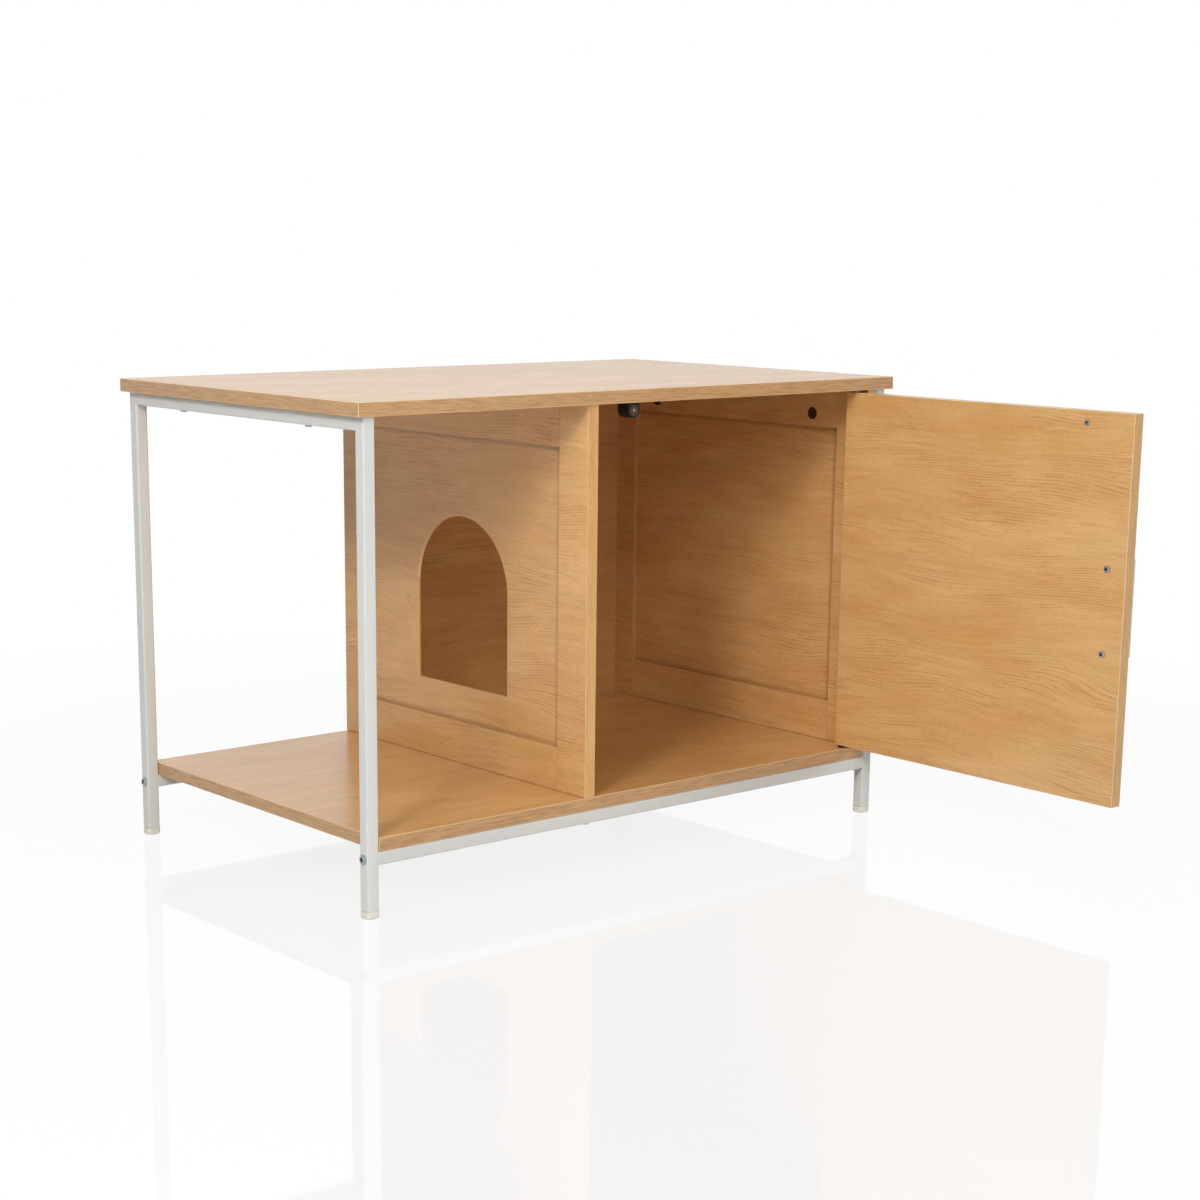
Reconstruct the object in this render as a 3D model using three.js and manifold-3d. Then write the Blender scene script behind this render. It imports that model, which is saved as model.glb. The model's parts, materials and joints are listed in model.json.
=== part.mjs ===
// A side-table cabinet that hides a cat's litter tray: a white square-tube frame, wood-decor
// boards, an open bay on the left, and on the right a closed cell that the cat enters through
// an arched doorway in the divider. Its door turns on two pins at the front right corner.
//
// Millimetres, +Z up, +X to the right and +Y to the back. The numbers below are counted from
// the point on the floor under the middle of the top board. The last lines move the whole
// cabinet so that the origin is the bottom centre of its box with the door standing open.

import * as THREE from "three";
import { mergeVertices } from "three/addons/utils/BufferGeometryUtils.js";
import Module from "manifold-3d";

const wasm = await Module();
wasm.setup();

// ---------------------------------------------------------------- driving sizes

// Carcass
const topWidth = 800;
const topDepth = 485;
const overallHeight = 550;
const boardThickness = 15;
const sideOverhang = 9; // top board past the legs, left and right
const frontOverhang = 5; // top board past the legs, front and back
const leftBayWidth = 288; // clear width from the left legs to the divider
const fit = 0.3; // clearance wherever two pieces meet
const runningFit = 0.1; // round the door's pins in their plates

// Steel frame
const tubeSize = 15;
const tubeWall = 1.2;
const tubeCorner = 2;
const lowerRailHeight = 58.5; // underside of the lower rails above the floor
const railEndPlate = 3; // welded, threaded plate in each end of a lower rail

// Feet
const footHeight = 8;
const footLip = 1; // foot past the tube on each side
const footCorner = 3.2;
const footBevel = 1.2;
const footPlugLength = 12;

// Framed panels: the divider and the right side
const stileWidth = 50;
const crossRailWidth = 50;
const panelThickness = 4;
const tongueLength = 7; // how far a panel or a rail's stub goes into its groove
const grooveSpare = 1; // groove deeper than the tongue

// Arched doorway in the divider's panel
const archWidth = 176;
const archHeight = 206;
const archSillHeight = 94; // above the cabinet's floor board

// Back panel of the closed cell
const backThickness = 4;
const backInset = 10; // from the rear faces of the stiles
const backTongue = 5;

// Door
const doorHingeGap = 3; // to the right side panel
const doorLatchGap = 4.5; // to the divider
const doorHeightGap = 3; // above and below
const doorPivotInset = 9; // from the door's hinge edge to the pin
const doorOpenAngle = 90; // how far the door stands open at rest, in degrees

// Pivot pins and plates
const pinRadius = 2.5;
const pinDepthInDoor = 12;
const pinReach = 5; // into the top and floor boards
const pinFlangeRadius = 3.5;
const plateThickness = 1.2;
const plateWidth = 13;
const plateLeftReach = 8; // from the pin away from the side panel
const plateScrewOffset = 7; // from the pin towards the side panel
const plateScrewHeadRadius = 3;
const plateScrewHeadHeight = 0.9;
const plateScrewRadius = 1.5;
const plateScrewLength = 10;

// Handle
const handleSpacing = 96; // between its two screws
const handleEdgeInset = 25; // from the door's free edge
const handleEndReach = 8; // bar past each screw's centre
const handleWidth = 10;
const handleThickness = 8;
const handleStandoff = 22; // from the door's face to the back of the bar
const handleCornerShare = 0.2; // rounding of the bar's corners, as a share of its section
const handlePostRadius = 4.5;
const handleScrewRadius = 2;
const handleScrewHeadRadius = 4;
const handleScrewHeadHeight = 2.4;
const handleScrewBite = 8; // thread inside the handle's post

// Magnetic catch
const strikeEdgeInset = 63; // from the door's free edge
const strikeTopInset = 13; // below the door's top edge
const strikeHeadRadius = 3.6;
const strikeHeadHeight = 1.8;
const strikeRadius = 1.5;
const strikeLength = 11;
const catchWidth = 18;
const catchDrop = 19; // height of the housing below the top board
const catchLength = 19;
const catchTabLength = 12;
const catchTabThickness = 2.5;
const magnetRadius = 6.5;
const magnetDepth = 6;
const magnetPoleRadius = 2;
const magnetPoleProud = 0.2; // the steel pole stands out of the magnet's face by this
const catchScrewHeadRadius = 3;
const catchScrewHeadHeight = 1.8;
const catchScrewRadius = 1.5;
const catchScrewLength = 12;

// Cam locks and their dowels
const camRadius = 7.5;
const camThickness = 12;
const camHoleSpare = 0.5; // hole deeper than the cam
const camDrop = 34; // from the top board's underside to the cam's centre
const camEdgeInset = 93; // from the panel's front and rear edges
const dowelHeadRadius = 3.2;
const dowelHeadHeight = 3;
const dowelNeckRadius = 1.8;
const dowelShaftRadius = 3.5;
const dowelThreadRadius = 2.9;
const dowelThreadLength = 10; // in the top board

// Screws and bolts of the frame
const railBoltRadius = 3;
const railBoltLength = 20;
const railBoltHeadRadius = 5.3;
const railBoltHeadHeight = 3;
const railScrewRadius = 2.2;
const railScrewLength = 60;
const railScrewHeadRadius = 4.5;
const railScrewHeadHeight = 2.4;
const topScrewRadius = 2;
const topScrewBite = 10; // in the top board
const topScrewSpacing = 254; // between the two screws of one end frame
const topScrewHeadRadius = 4.2;
const topScrewHeadHeight = 2.5;
const screwTipLength = 2;
const pilotSpare = 1; // a blind hole is deeper than its screw by this

// Shapes shared by screws, pins and dowels
const panHeadOutline = [[0, 1], [0.5, 0.95], [0.85, 0.7], [1, 0.3], [1, 0]]; // shares of its size
const screwTipShare = 0.15; // of the shank's radius, at the very tip
const boltTipLength = 1;
const boltTipShare = 0.75;
const flatHeadRimShare = 0.6; // of a flat head's height, before it tapers to the shank
const flatHeadRecessShare = 0.8; // of a flat head's height
const pinChamfer = 0.6;

// Cross recesses in the heads
const recessWidth = 1;
const recessShare = 0.62; // of the head's radius, to each side of its centre
const recessDepthShare = 0.45; // of the head's height
const camRecessDepth = 1.6;

// How far a cutter runs past the face it cuts, and how close points are the same point
const overcut = 1;
const weldDistance = 1e-4;

// Facets on round work
const smallSegments = 16;
const camSegments = 24;
const cornerSegments = 3;
const archSegments = 24;

// ---------------------------------------------------------------- worked-out places

const legOuterX = topWidth / 2 - sideOverhang;
const legInnerX = legOuterX - tubeSize;
const legX = legOuterX - tubeSize / 2;
const frameDepth = topDepth - 2 * frontOverhang;
const frontY = -frameDepth / 2;
const rearY = frameDepth / 2;
const legY = rearY - tubeSize / 2;

const topUnderside = overallHeight - boardThickness;
const legBottom = footHeight + fit;
const legTop = topUnderside - fit;
const lowerRailMiddle = lowerRailHeight + tubeSize / 2;
const floorUnderside = lowerRailHeight + tubeSize + fit;
const floorTop = floorUnderside + boardThickness;
const panelBottom = floorTop + fit;
const panelTop = topUnderside - fit;

const dividerLeftX = -legInnerX + leftBayWidth;
const dividerRightX = dividerLeftX + boardThickness;
const sideRightX = legInnerX - fit;
const sideLeftX = sideRightX - boardThickness;
const panelCentresX = [dividerLeftX + boardThickness / 2, sideLeftX + boardThickness / 2];

const backRearY = rearY - backInset;
const backFrontY = backRearY - backThickness;
const grooveDepth = tongueLength + grooveSpare;

const doorBottom = floorTop + doorHeightGap;
const doorTop = topUnderside - doorHeightGap;
const doorWidth = sideLeftX - dividerRightX - doorHingeGap - doorLatchGap;
const pivotX = sideLeftX - doorHingeGap - doorPivotInset;
const pivotY = frontY + boardThickness / 2;
const doorFreeEdge = doorPivotInset - doorWidth; // in the door's own frame, from the pin
const strikeX = doorFreeEdge + strikeEdgeInset;
const strikeZ = doorTop - strikeTopInset;
const handleX = doorFreeEdge + handleEdgeInset;
const doorMiddleZ = (doorBottom + doorTop) / 2;
// The plate ends where the side panel begins.
const plateRightReach = doorPivotInset + doorHingeGap - fit;

// The flange fills the gap that the plate leaves above and below the door.
const pinFlangeHeight = doorHeightGap - plateThickness - 3 * fit;
const handleLength = handleSpacing + 2 * handleEndReach;

const camZ = topUnderside - camDrop;
const camOffsetsY = [frontY + camEdgeInset, rearY - camEdgeInset];
const topScrewOffsetsY = [-topScrewSpacing / 2, topScrewSpacing / 2];
const catchX = pivotX + strikeX;
const catchFrontY = pivotY + boardThickness / 2 + strikeHeadHeight + fit;
const catchScrewY = catchFrontY + catchLength + catchTabLength / 2;
const catchTop = topUnderside - fit;

// ---------------------------------------------------------------- materials

function finish(colour, roughness, metalness) {
  return new THREE.MeshStandardMaterial({ color: colour, roughness, metalness });
}

const oakDecor = finish("#c79a66", 0.55, 0);
const whitePowderCoat = finish("#dcdcd8", 0.45, 0);
const ivoryPlastic = finish("#dedacb", 0.5, 0);
const zincPlate = finish("#b9bfc6", 0.35, 1);
const darkBronze = finish("#3a2a1c", 0.4, 1);
const blackPlastic = finish("#241a14", 0.45, 0);
const darkMagnet = finish("#4a4234", 0.5, 0.3);

// ---------------------------------------------------------------- solids

// A closed geometry as a solid that can be joined and cut.
function solid(geometry) {
  const bare = geometry.clone();
  bare.deleteAttribute("normal");
  bare.deleteAttribute("uv");
  const merged = mergeVertices(bare, weldDistance);
  const mesh = new wasm.Mesh({
    numProp: 3,
    vertProperties: merged.getAttribute("position").array,
    triVerts: new Uint32Array(merged.index.array),
  });
  return new wasm.Manifold(mesh);
}

// The same, the other way round, for a mesh.
function geometryOf(body) {
  const mesh = body.getMesh();
  const geometry = new THREE.BufferGeometry();
  geometry.setAttribute("position", new THREE.BufferAttribute(mesh.vertProperties, 3));
  geometry.setIndex(new THREE.BufferAttribute(mesh.triVerts, 1));
  geometry.computeVertexNormals();
  return geometry;
}

// A block between two values on each axis.
function block([x0, x1], [y0, y1], [z0, z1]) {
  const geometry = new THREE.BoxGeometry(x1 - x0, y1 - y0, z1 - z0);
  geometry.translate((x0 + x1) / 2, (y0 + y1) / 2, (z0 + z1) / 2);
  return solid(geometry);
}

// A round bar or a drill's path between two points.
function rod(from, to, radius, segments = smallSegments) {
  const start = new THREE.Vector3(...from);
  const end = new THREE.Vector3(...to);
  const along = end.clone().sub(start);
  const geometry = new THREE.CylinderGeometry(radius, radius, along.length(), segments);
  const turn = new THREE.Quaternion();
  turn.setFromUnitVectors(new THREE.Vector3(0, 1, 0), along.clone().normalize());
  geometry.applyQuaternion(turn);
  geometry.translate(...start.add(end).multiplyScalar(0.5).toArray());
  return solid(geometry);
}

// A turned piece along +Z: its profile is a list of [radius, height] from the bottom up.
function turned(profile, segments = smallSegments) {
  const points = profile.map(([radius, height]) => new THREE.Vector2(radius, height));
  const geometry = new THREE.LatheGeometry(points, segments);
  geometry.rotateX(Math.PI / 2);
  return solid(geometry);
}

function roundedSquare(size, corner) {
  const straight = size / 2 - corner;
  const shape = new THREE.Shape();
  const quarters = [
    [straight, -straight, -Math.PI / 2],
    [straight, straight, 0],
    [-straight, straight, Math.PI / 2],
    [-straight, -straight, Math.PI],
  ];
  for (const [x, y, start] of quarters) {
    shape.absarc(x, y, corner, start, start + Math.PI / 2);
  }
  return shape;
}

// A square bar of rounded section along +Z, from height 0.
function squareBar(size, corner, length) {
  const shape = roundedSquare(size, corner);
  const options = { depth: length, bevelEnabled: false, curveSegments: cornerSegments };
  return solid(new THREE.ExtrudeGeometry(shape, options));
}

const tubeBore = tubeSize - 2 * tubeWall;
const boreCorner = Math.max(tubeCorner - tubeWall, tubeWall / 4);

// A bar built along +Z, laid along X or Y with its middle at the origin.
function laidAlong(axis, bar, length) {
  const centred = bar.translate([0, 0, -length / 2]);
  if (axis === "x") {
    return centred.rotate([0, 90, 0]);
  }
  return centred.rotate([-90, 0, 0]);
}

// A cross recess cut into a head whose outer face is at height -headHeight.
function crossRecess(headRadius, headHeight) {
  const reach = headRadius * recessShare;
  const half = recessWidth / 2;
  const depth = [-headHeight - overcut, -headHeight * (1 - recessDepthShare)];
  return block([-reach, reach], [-half, half], depth).add(
    block([-half, half], [-reach, reach], depth),
  );
}

// A shank along +Z up to a given length, pointed like a screw or blunt like a bolt.
function shank(radius, length, blunt) {
  const tipLength = blunt ? boltTipLength : screwTipLength;
  const tipRadius = radius * (blunt ? boltTipShare : screwTipShare);
  return [
    [radius, length - tipLength],
    [tipRadius, length],
    [0, length],
  ];
}

// A pan-head screw or bolt. The head bears on height 0, and the shank runs up +Z.
function panScrew(headRadius, headHeight, radius, length, blunt = false) {
  const head = panHeadOutline.map(([across, up]) => [across * headRadius, -up * headHeight]);
  return turned([...head, [radius, 0], ...shank(radius, length, blunt)]).subtract(
    crossRecess(headRadius, headHeight),
  );
}

// ---------------------------------------------------------------- scene graph

const cabinet = new THREE.Group();
const steelFrame = new THREE.Group();
const carcass = new THREE.Group();
const fittings = new THREE.Group();
const door = new THREE.Group();
cabinet.add(steelFrame, carcass, fittings, door);

door.position.set(pivotX, pivotY, 0);
door.rotation.z = THREE.MathUtils.degToRad(doorOpenAngle);

// Adds a piece that is drawn around its own origin and placed by its position.
function place(group, name, body, material, at = [0, 0, 0]) {
  const mesh = new THREE.Mesh(geometryOf(body), material);
  mesh.name = name;
  mesh.position.set(...at);
  group.add(mesh);
}

// Adds a piece that is drawn where it sits. Its mesh is centred, and put back by its position.
function placeDrawn(group, name, body, material) {
  const geometry = geometryOf(body);
  geometry.computeBoundingBox();
  const centre = geometry.boundingBox.getCenter(new THREE.Vector3());
  geometry.translate(-centre.x, -centre.y, -centre.z);
  const mesh = new THREE.Mesh(geometry, material);
  mesh.name = name;
  mesh.position.copy(centre);
  group.add(mesh);
}

const sides = { left: -1, right: 1 };
const ends = { front: -1, rear: 1 };

// ---------------------------------------------------------------- steel frame

function legTube() {
  const length = legTop - legBottom;
  const boltZ = lowerRailMiddle - legBottom;
  return squareBar(tubeSize, tubeCorner, length)
    .subtract(
      squareBar(tubeBore, boreCorner, length + 2 * overcut).translate([0, 0, -overcut]),
    )
    .subtract(rod([-tubeSize, 0, boltZ], [tubeSize, 0, boltZ], railBoltRadius + fit));
}

function topRailTube() {
  const length = frameDepth - 2 * tubeSize - 2 * fit;
  const boreLength = length + 2 * overcut;
  let tube = laidAlong("y", squareBar(tubeSize, tubeCorner, length), length).subtract(
    laidAlong("y", squareBar(tubeBore, boreCorner, boreLength), boreLength),
  );
  for (const y of topScrewOffsetsY) {
    tube = tube.subtract(rod([0, y, -tubeSize], [0, y, tubeSize], topScrewRadius + fit));
  }
  return tube;
}

// A lower rail is closed at both ends by the threaded plates that the bolts screw into.
function lowerRailTube() {
  const length = 2 * (legInnerX - fit);
  const boreLength = length - 2 * railEndPlate;
  let tube = laidAlong("x", squareBar(tubeSize, tubeCorner, length), length)
    .subtract(laidAlong("x", squareBar(tubeBore, boreCorner, boreLength), boreLength))
    .subtract(rod([-length, 0, 0], [length, 0, 0], railBoltRadius + fit));
  for (const x of panelCentresX) {
    tube = tube.subtract(rod([x, 0, -tubeSize], [x, 0, tubeSize], railScrewRadius + fit));
  }
  return tube;
}

function footCap() {
  const size = tubeSize + 2 * footLip;
  const shape = roundedSquare(size - 2 * footBevel, footCorner - footBevel);
  const options = {
    depth: footHeight - 2 * footBevel,
    bevelThickness: footBevel,
    bevelSize: footBevel,
    bevelSegments: 2,
    curveSegments: cornerSegments,
  };
  const cap = new THREE.ExtrudeGeometry(shape, options).translate(0, 0, footBevel);
  const plugSize = tubeBore - 2 * fit;
  const plugLength = footHeight / 2 + footPlugLength;
  const plug = squareBar(plugSize, boreCorner, plugLength).translate([0, 0, footHeight / 2]);
  return solid(cap).add(plug);
}

const leg = legTube();
const topRail = topRailTube();
const lowerRail = lowerRailTube();
const foot = footCap();
const railBolt = panScrew(
  railBoltHeadRadius,
  railBoltHeadHeight,
  railBoltRadius,
  railBoltLength,
  true,
);
const topScrew = panScrew(
  topScrewHeadRadius,
  topScrewHeadHeight,
  topScrewRadius,
  tubeSize + fit + topScrewBite,
);
const railScrew = panScrew(
  railScrewHeadRadius,
  railScrewHeadHeight,
  railScrewRadius,
  railScrewLength,
);

for (const [side, sx] of Object.entries(sides)) {
  for (const [end, sy] of Object.entries(ends)) {
    const corner = [sx * legX, sy * legY];
    place(steelFrame, side + "_" + end + "_leg", leg, whitePowderCoat, [...corner, legBottom]);
    place(steelFrame, side + "_" + end + "_foot", foot, ivoryPlastic, [...corner, 0]);
    place(
      steelFrame,
      side + "_" + end + "_rail_bolt",
      railBolt.rotate([0, -90 * sx, 0]),
      zincPlate,
      [sx * legOuterX, sy * legY, lowerRailMiddle],
    );
    place(
      steelFrame,
      side + "_" + end + "_top_screw",
      topScrew,
      zincPlate,
      [sx * legX, (sy * topScrewSpacing) / 2, legTop - tubeSize],
    );
  }
  place(
    steelFrame,
    side + "_top_rail",
    topRail,
    whitePowderCoat,
    [sx * legX, 0, legTop - tubeSize / 2],
  );
}

for (const [end, sy] of Object.entries(ends)) {
  const at = [0, sy * legY, lowerRailMiddle];
  place(steelFrame, end + "_lower_rail", lowerRail, whitePowderCoat, at);
  place(
    steelFrame,
    "divider_" + end + "_screw",
    railScrew,
    zincPlate,
    [panelCentresX[0], sy * legY, lowerRailHeight],
  );
  place(
    steelFrame,
    "side_" + end + "_screw",
    railScrew,
    zincPlate,
    [panelCentresX[1], sy * legY, lowerRailHeight],
  );
}

// ---------------------------------------------------------------- framed panels

// The rebate that a panel's edge or a rail's stub sits in, at the middle of the thickness.
function grooveX(middleX) {
  const half = panelThickness / 2 + fit;
  return [middleX - half, middleX + half];
}

const throughPanelZ = [panelBottom - overcut, panelTop + overcut];

function tongueX(middleX) {
  return [middleX - panelThickness / 2, middleX + panelThickness / 2];
}

const stileInnerY = rearY - stileWidth;
const railEndY = stileInnerY - fit;

function stile(leftX, sy, insideFace) {
  const middleX = leftX + boardThickness / 2;
  const ys = [sy * rearY, sy * stileInnerY].sort((a, b) => a - b);
  const groove = [sy * (stileInnerY - overcut), sy * (stileInnerY + grooveDepth)];
  const screwTop = lowerRailHeight + railScrewLength + pilotSpare;
  groove.sort((a, b) => a - b);
  let body = block([leftX, leftX + boardThickness], ys, [panelBottom, panelTop]);
  body = body
    .subtract(block(grooveX(middleX), groove, throughPanelZ))
    .subtract(
      rod(
        [middleX, sy * legY, throughPanelZ[0]],
        [middleX, sy * legY, screwTop],
        railScrewRadius + fit,
      ),
    );
  if (sy > 0) {
    const faceX = insideFace > 0 ? leftX + boardThickness : leftX;
    const xs = [faceX + insideFace * overcut, faceX - insideFace * (backTongue + grooveSpare)];
    xs.sort((a, b) => a - b);
    const slot = [backFrontY - fit, backRearY + fit];
    body = body.subtract(block(xs, slot, throughPanelZ));
  }
  return body;
}

// A cross rail with a stub at each end and a groove along the edge that holds the panel.
function crossRail(leftX, zs, upper) {
  const middleX = leftX + boardThickness / 2;
  const innerZ = upper ? zs[0] : zs[1];
  const outerZ = upper ? zs[1] : zs[0];
  const toward = upper ? 1 : -1;
  const stubZ = [outerZ, innerZ + toward * (tongueLength + fit)].sort((a, b) => a - b);
  const grooveZ = [innerZ - toward * overcut, innerZ + toward * grooveDepth];
  grooveZ.sort((a, b) => a - b);
  const stubY = railEndY + fit + tongueLength;
  return block([leftX, leftX + boardThickness], [-railEndY, railEndY], zs)
    .add(block(tongueX(middleX), [-stubY, stubY], stubZ))
    .subtract(block(grooveX(middleX), [-stileInnerY, stileInnerY], grooveZ));
}

// The bores for the cam locks and their dowels, drilled from the inside face.
function withCamBores(board, leftX, insideFace) {
  const middleX = leftX + boardThickness / 2;
  const faceX = insideFace > 0 ? leftX + boardThickness : leftX;
  const mouthX = faceX + insideFace * overcut;
  const endX = faceX - insideFace * (camThickness + camHoleSpare);
  let bored = board;
  for (const y of camOffsetsY) {
    bored = bored
      .subtract(rod([mouthX, y, camZ], [endX, y, camZ], camRadius + fit, camSegments))
      .subtract(rod([middleX, y, camZ], [middleX, y, throughPanelZ[1]], dowelShaftRadius + fit));
  }
  return bored;
}

function archShape(sillZ) {
  const radius = archWidth / 2;
  const springZ = sillZ + archHeight - radius;
  const arch = new THREE.Path();
  arch.moveTo(-radius, sillZ);
  arch.lineTo(radius, sillZ);
  arch.lineTo(radius, springZ);
  arch.absarc(0, springZ, radius, 0, Math.PI);
  arch.lineTo(-radius, sillZ);
  return arch;
}

const panelHalfY = stileInnerY + tongueLength;
const panelLowZ = panelBottom + crossRailWidth - tongueLength;
const panelHighZ = panelTop - crossRailWidth + tongueLength;

function infill(leftX, opening) {
  const middleX = leftX + boardThickness / 2;
  const shape = new THREE.Shape();
  shape.moveTo(-panelHalfY, panelLowZ);
  shape.lineTo(panelHalfY, panelLowZ);
  shape.lineTo(panelHalfY, panelHighZ);
  shape.lineTo(-panelHalfY, panelHighZ);
  shape.closePath();
  if (opening) {
    shape.holes.push(opening);
  }
  const options = {
    depth: panelThickness,
    bevelEnabled: false,
    curveSegments: archSegments,
  };
  const geometry = new THREE.ExtrudeGeometry(shape, options);
  // The outline was drawn in X and Y: turn it so that it stands in Y and Z.
  geometry.rotateX(Math.PI / 2);
  geometry.rotateZ(Math.PI / 2);
  geometry.translate(middleX - panelThickness / 2, 0, 0);
  return solid(geometry);
}

function framedPanel(label, leftX, insideFace, opening) {
  const topZ = [panelTop - crossRailWidth, panelTop];
  const bottomZ = [panelBottom, panelBottom + crossRailWidth];
  const upperRail = withCamBores(crossRail(leftX, topZ, true), leftX, insideFace);
  const panel = withCamBores(infill(leftX, opening), leftX, insideFace);
  placeDrawn(carcass, label + "_front_stile", stile(leftX, -1, insideFace), oakDecor);
  placeDrawn(carcass, label + "_rear_stile", stile(leftX, 1, insideFace), oakDecor);
  placeDrawn(carcass, label + "_top_rail", upperRail, oakDecor);
  placeDrawn(carcass, label + "_bottom_rail", crossRail(leftX, bottomZ, false), oakDecor);
  placeDrawn(carcass, label + "_panel", panel, oakDecor);
}

framedPanel("divider", dividerLeftX, 1, archShape(floorTop + archSillHeight));
framedPanel("side", sideLeftX, -1, null);

// ---------------------------------------------------------------- plain boards

// A blind or through hole straight up or down at x, y.
function drill(x, y, zs, radius) {
  return rod([x, y, zs[0]], [x, y, zs[1]], radius + fit);
}

const plateScrewX = pivotX + plateScrewOffset;

let topBoard = block(
  [-topWidth / 2, topWidth / 2],
  [-topDepth / 2, topDepth / 2],
  [topUnderside, overallHeight],
);
const fromUnderTop = (depth) => [topUnderside - overcut, topUnderside + depth];
for (const y of topScrewOffsetsY) {
  for (const x of [-legX, legX]) {
    topBoard = topBoard.subtract(drill(x, y, fromUnderTop(topScrewBite + pilotSpare), topScrewRadius));
  }
}
for (const y of camOffsetsY) {
  for (const x of panelCentresX) {
    const hole = fromUnderTop(dowelThreadLength + pilotSpare);
    topBoard = topBoard.subtract(drill(x, y, hole, dowelThreadRadius));
  }
}
topBoard = topBoard
  .subtract(drill(pivotX, pivotY, fromUnderTop(pinReach + pilotSpare), pinRadius))
  .subtract(drill(plateScrewX, pivotY, fromUnderTop(plateScrewLength), plateScrewRadius))
  .subtract(drill(catchX, catchScrewY, fromUnderTop(catchScrewLength), catchScrewRadius));
placeDrawn(carcass, "top_board", topBoard, oakDecor);

const floorHalfX = legInnerX - fit;
let floorBoard = block([-floorHalfX, floorHalfX], [frontY, rearY], [floorUnderside, floorTop]);
for (const x of panelCentresX) {
  for (const y of [-legY, legY]) {
    const through = [floorUnderside - overcut, floorTop + overcut];
    floorBoard = floorBoard.subtract(drill(x, y, through, railScrewRadius));
  }
}
const fromFloorTop = (depth) => [floorTop - depth, floorTop + overcut];
floorBoard = floorBoard
  .subtract(drill(pivotX, pivotY, fromFloorTop(pinReach + pilotSpare), pinRadius))
  .subtract(drill(plateScrewX, pivotY, fromFloorTop(plateScrewLength), plateScrewRadius));
placeDrawn(carcass, "bottom_board", floorBoard, oakDecor);

const backPanel = block(
  [dividerRightX - backTongue, sideLeftX + backTongue],
  [backFrontY, backRearY],
  [panelBottom, panelTop],
);
placeDrawn(carcass, "back_panel", backPanel, oakDecor);

// ---------------------------------------------------------------- cam locks

// The dowel stands on the cam's centre and runs up through the rail into the top board.
function camDowel() {
  const shaftLow = camRadius + fit;
  const threadLow = camDrop;
  const tip = camDrop + dowelThreadLength;
  const chamfer = pinChamfer;
  return turned([
    [0, -dowelHeadHeight / 2],
    [dowelHeadRadius - chamfer, -dowelHeadHeight / 2],
    [dowelHeadRadius, -dowelHeadHeight / 2 + chamfer],
    [dowelHeadRadius, dowelHeadHeight / 2 - chamfer],
    [dowelNeckRadius, dowelHeadHeight / 2],
    [dowelNeckRadius, shaftLow],
    [dowelShaftRadius, shaftLow + chamfer],
    [dowelShaftRadius, threadLow - fit],
    [dowelThreadRadius, threadLow],
    [dowelThreadRadius, tip - chamfer],
    [dowelThreadRadius - chamfer, tip],
    [0, tip],
  ]);
}

// A cam whose face with the cross recess looks towards +X when towards is 1.
function camLock(towards) {
  const faceX = (towards * boardThickness) / 2;
  const innerX = faceX - towards * camThickness;
  const pocket = [-dowelHeadHeight / 2 - fit, dowelHeadHeight / 2 + fit];
  const recessHeight = camRecessDepth / recessDepthShare;
  const slot = crossRecess(camRadius, recessHeight)
    .translate([0, 0, recessHeight])
    .rotate([0, -90 * towards, 0])
    .translate([faceX, 0, 0]);
  return rod([innerX, 0, 0], [faceX, 0, 0], camRadius, camSegments)
    .subtract(rod([0, 0, pocket[0]], [0, 0, pocket[1]], dowelHeadRadius + fit))
    .subtract(rod([0, 0, 0], [0, 0, camRadius + overcut], dowelNeckRadius + fit))
    .subtract(slot);
}

const dowel = camDowel();
[["divider", panelCentresX[0], 1], ["side", panelCentresX[1], -1]].forEach(([label, x, towards]) => {
  const cam = camLock(towards);
  Object.keys(ends).forEach((end, index) => {
    const at = [x, camOffsetsY[index], camZ];
    place(fittings, label + "_" + end + "_cam_lock", cam, darkBronze, at);
    place(fittings, label + "_" + end + "_cam_dowel", dowel, zincPlate, at);
  });
});

// ---------------------------------------------------------------- door pivots

// A plate with round ends: flat on the board, its pin hole at the origin.
function pivotPlate() {
  const half = plateWidth / 2;
  const shape = new THREE.Shape();
  shape.absarc(plateRightReach - half, 0, half, -Math.PI / 2, Math.PI / 2);
  shape.absarc(-plateLeftReach + half, 0, half, Math.PI / 2, (3 * Math.PI) / 2);
  const options = { depth: plateThickness, bevelEnabled: false, curveSegments: smallSegments / 2 };
  const through = (x, radius, segments) =>
    rod([x, 0, -overcut], [x, 0, plateThickness + overcut], radius, segments);
  return solid(new THREE.ExtrudeGeometry(shape, options))
    .subtract(through(0, pinRadius + runningFit, camSegments))
    .subtract(through(plateScrewOffset, plateScrewHeadRadius + fit, smallSegments));
}

// A flat-headed screw: its head lies in the plate's hole, and its shank runs up +Z.
function flatScrew(headRadius, headHeight, radius, length) {
  const recessHeight = headHeight * flatHeadRecessShare;
  return turned([
    [0, 0],
    [headRadius, 0],
    [headRadius, headHeight * flatHeadRimShare],
    [radius, headHeight],
    ...shank(radius, length, false),
  ]).subtract(crossRecess(headRadius, recessHeight).translate([0, 0, recessHeight]));
}

// A pin with a thrust flange. Height 0 is the door's edge, and +Z points out of the door.
function pivotPin() {
  const flangeLow = fit;
  const flangeHigh = fit + pinFlangeHeight;
  const tip = doorHeightGap + pinReach;
  const chamfer = pinChamfer;
  return turned([
    [0, -pinDepthInDoor],
    [pinRadius, -pinDepthInDoor],
    [pinRadius, flangeLow],
    [pinFlangeRadius, flangeLow],
    [pinFlangeRadius, flangeHigh],
    [pinRadius, flangeHigh],
    [pinRadius, tip - chamfer],
    [pinRadius - chamfer, tip],
    [0, tip],
  ]);
}

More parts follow.
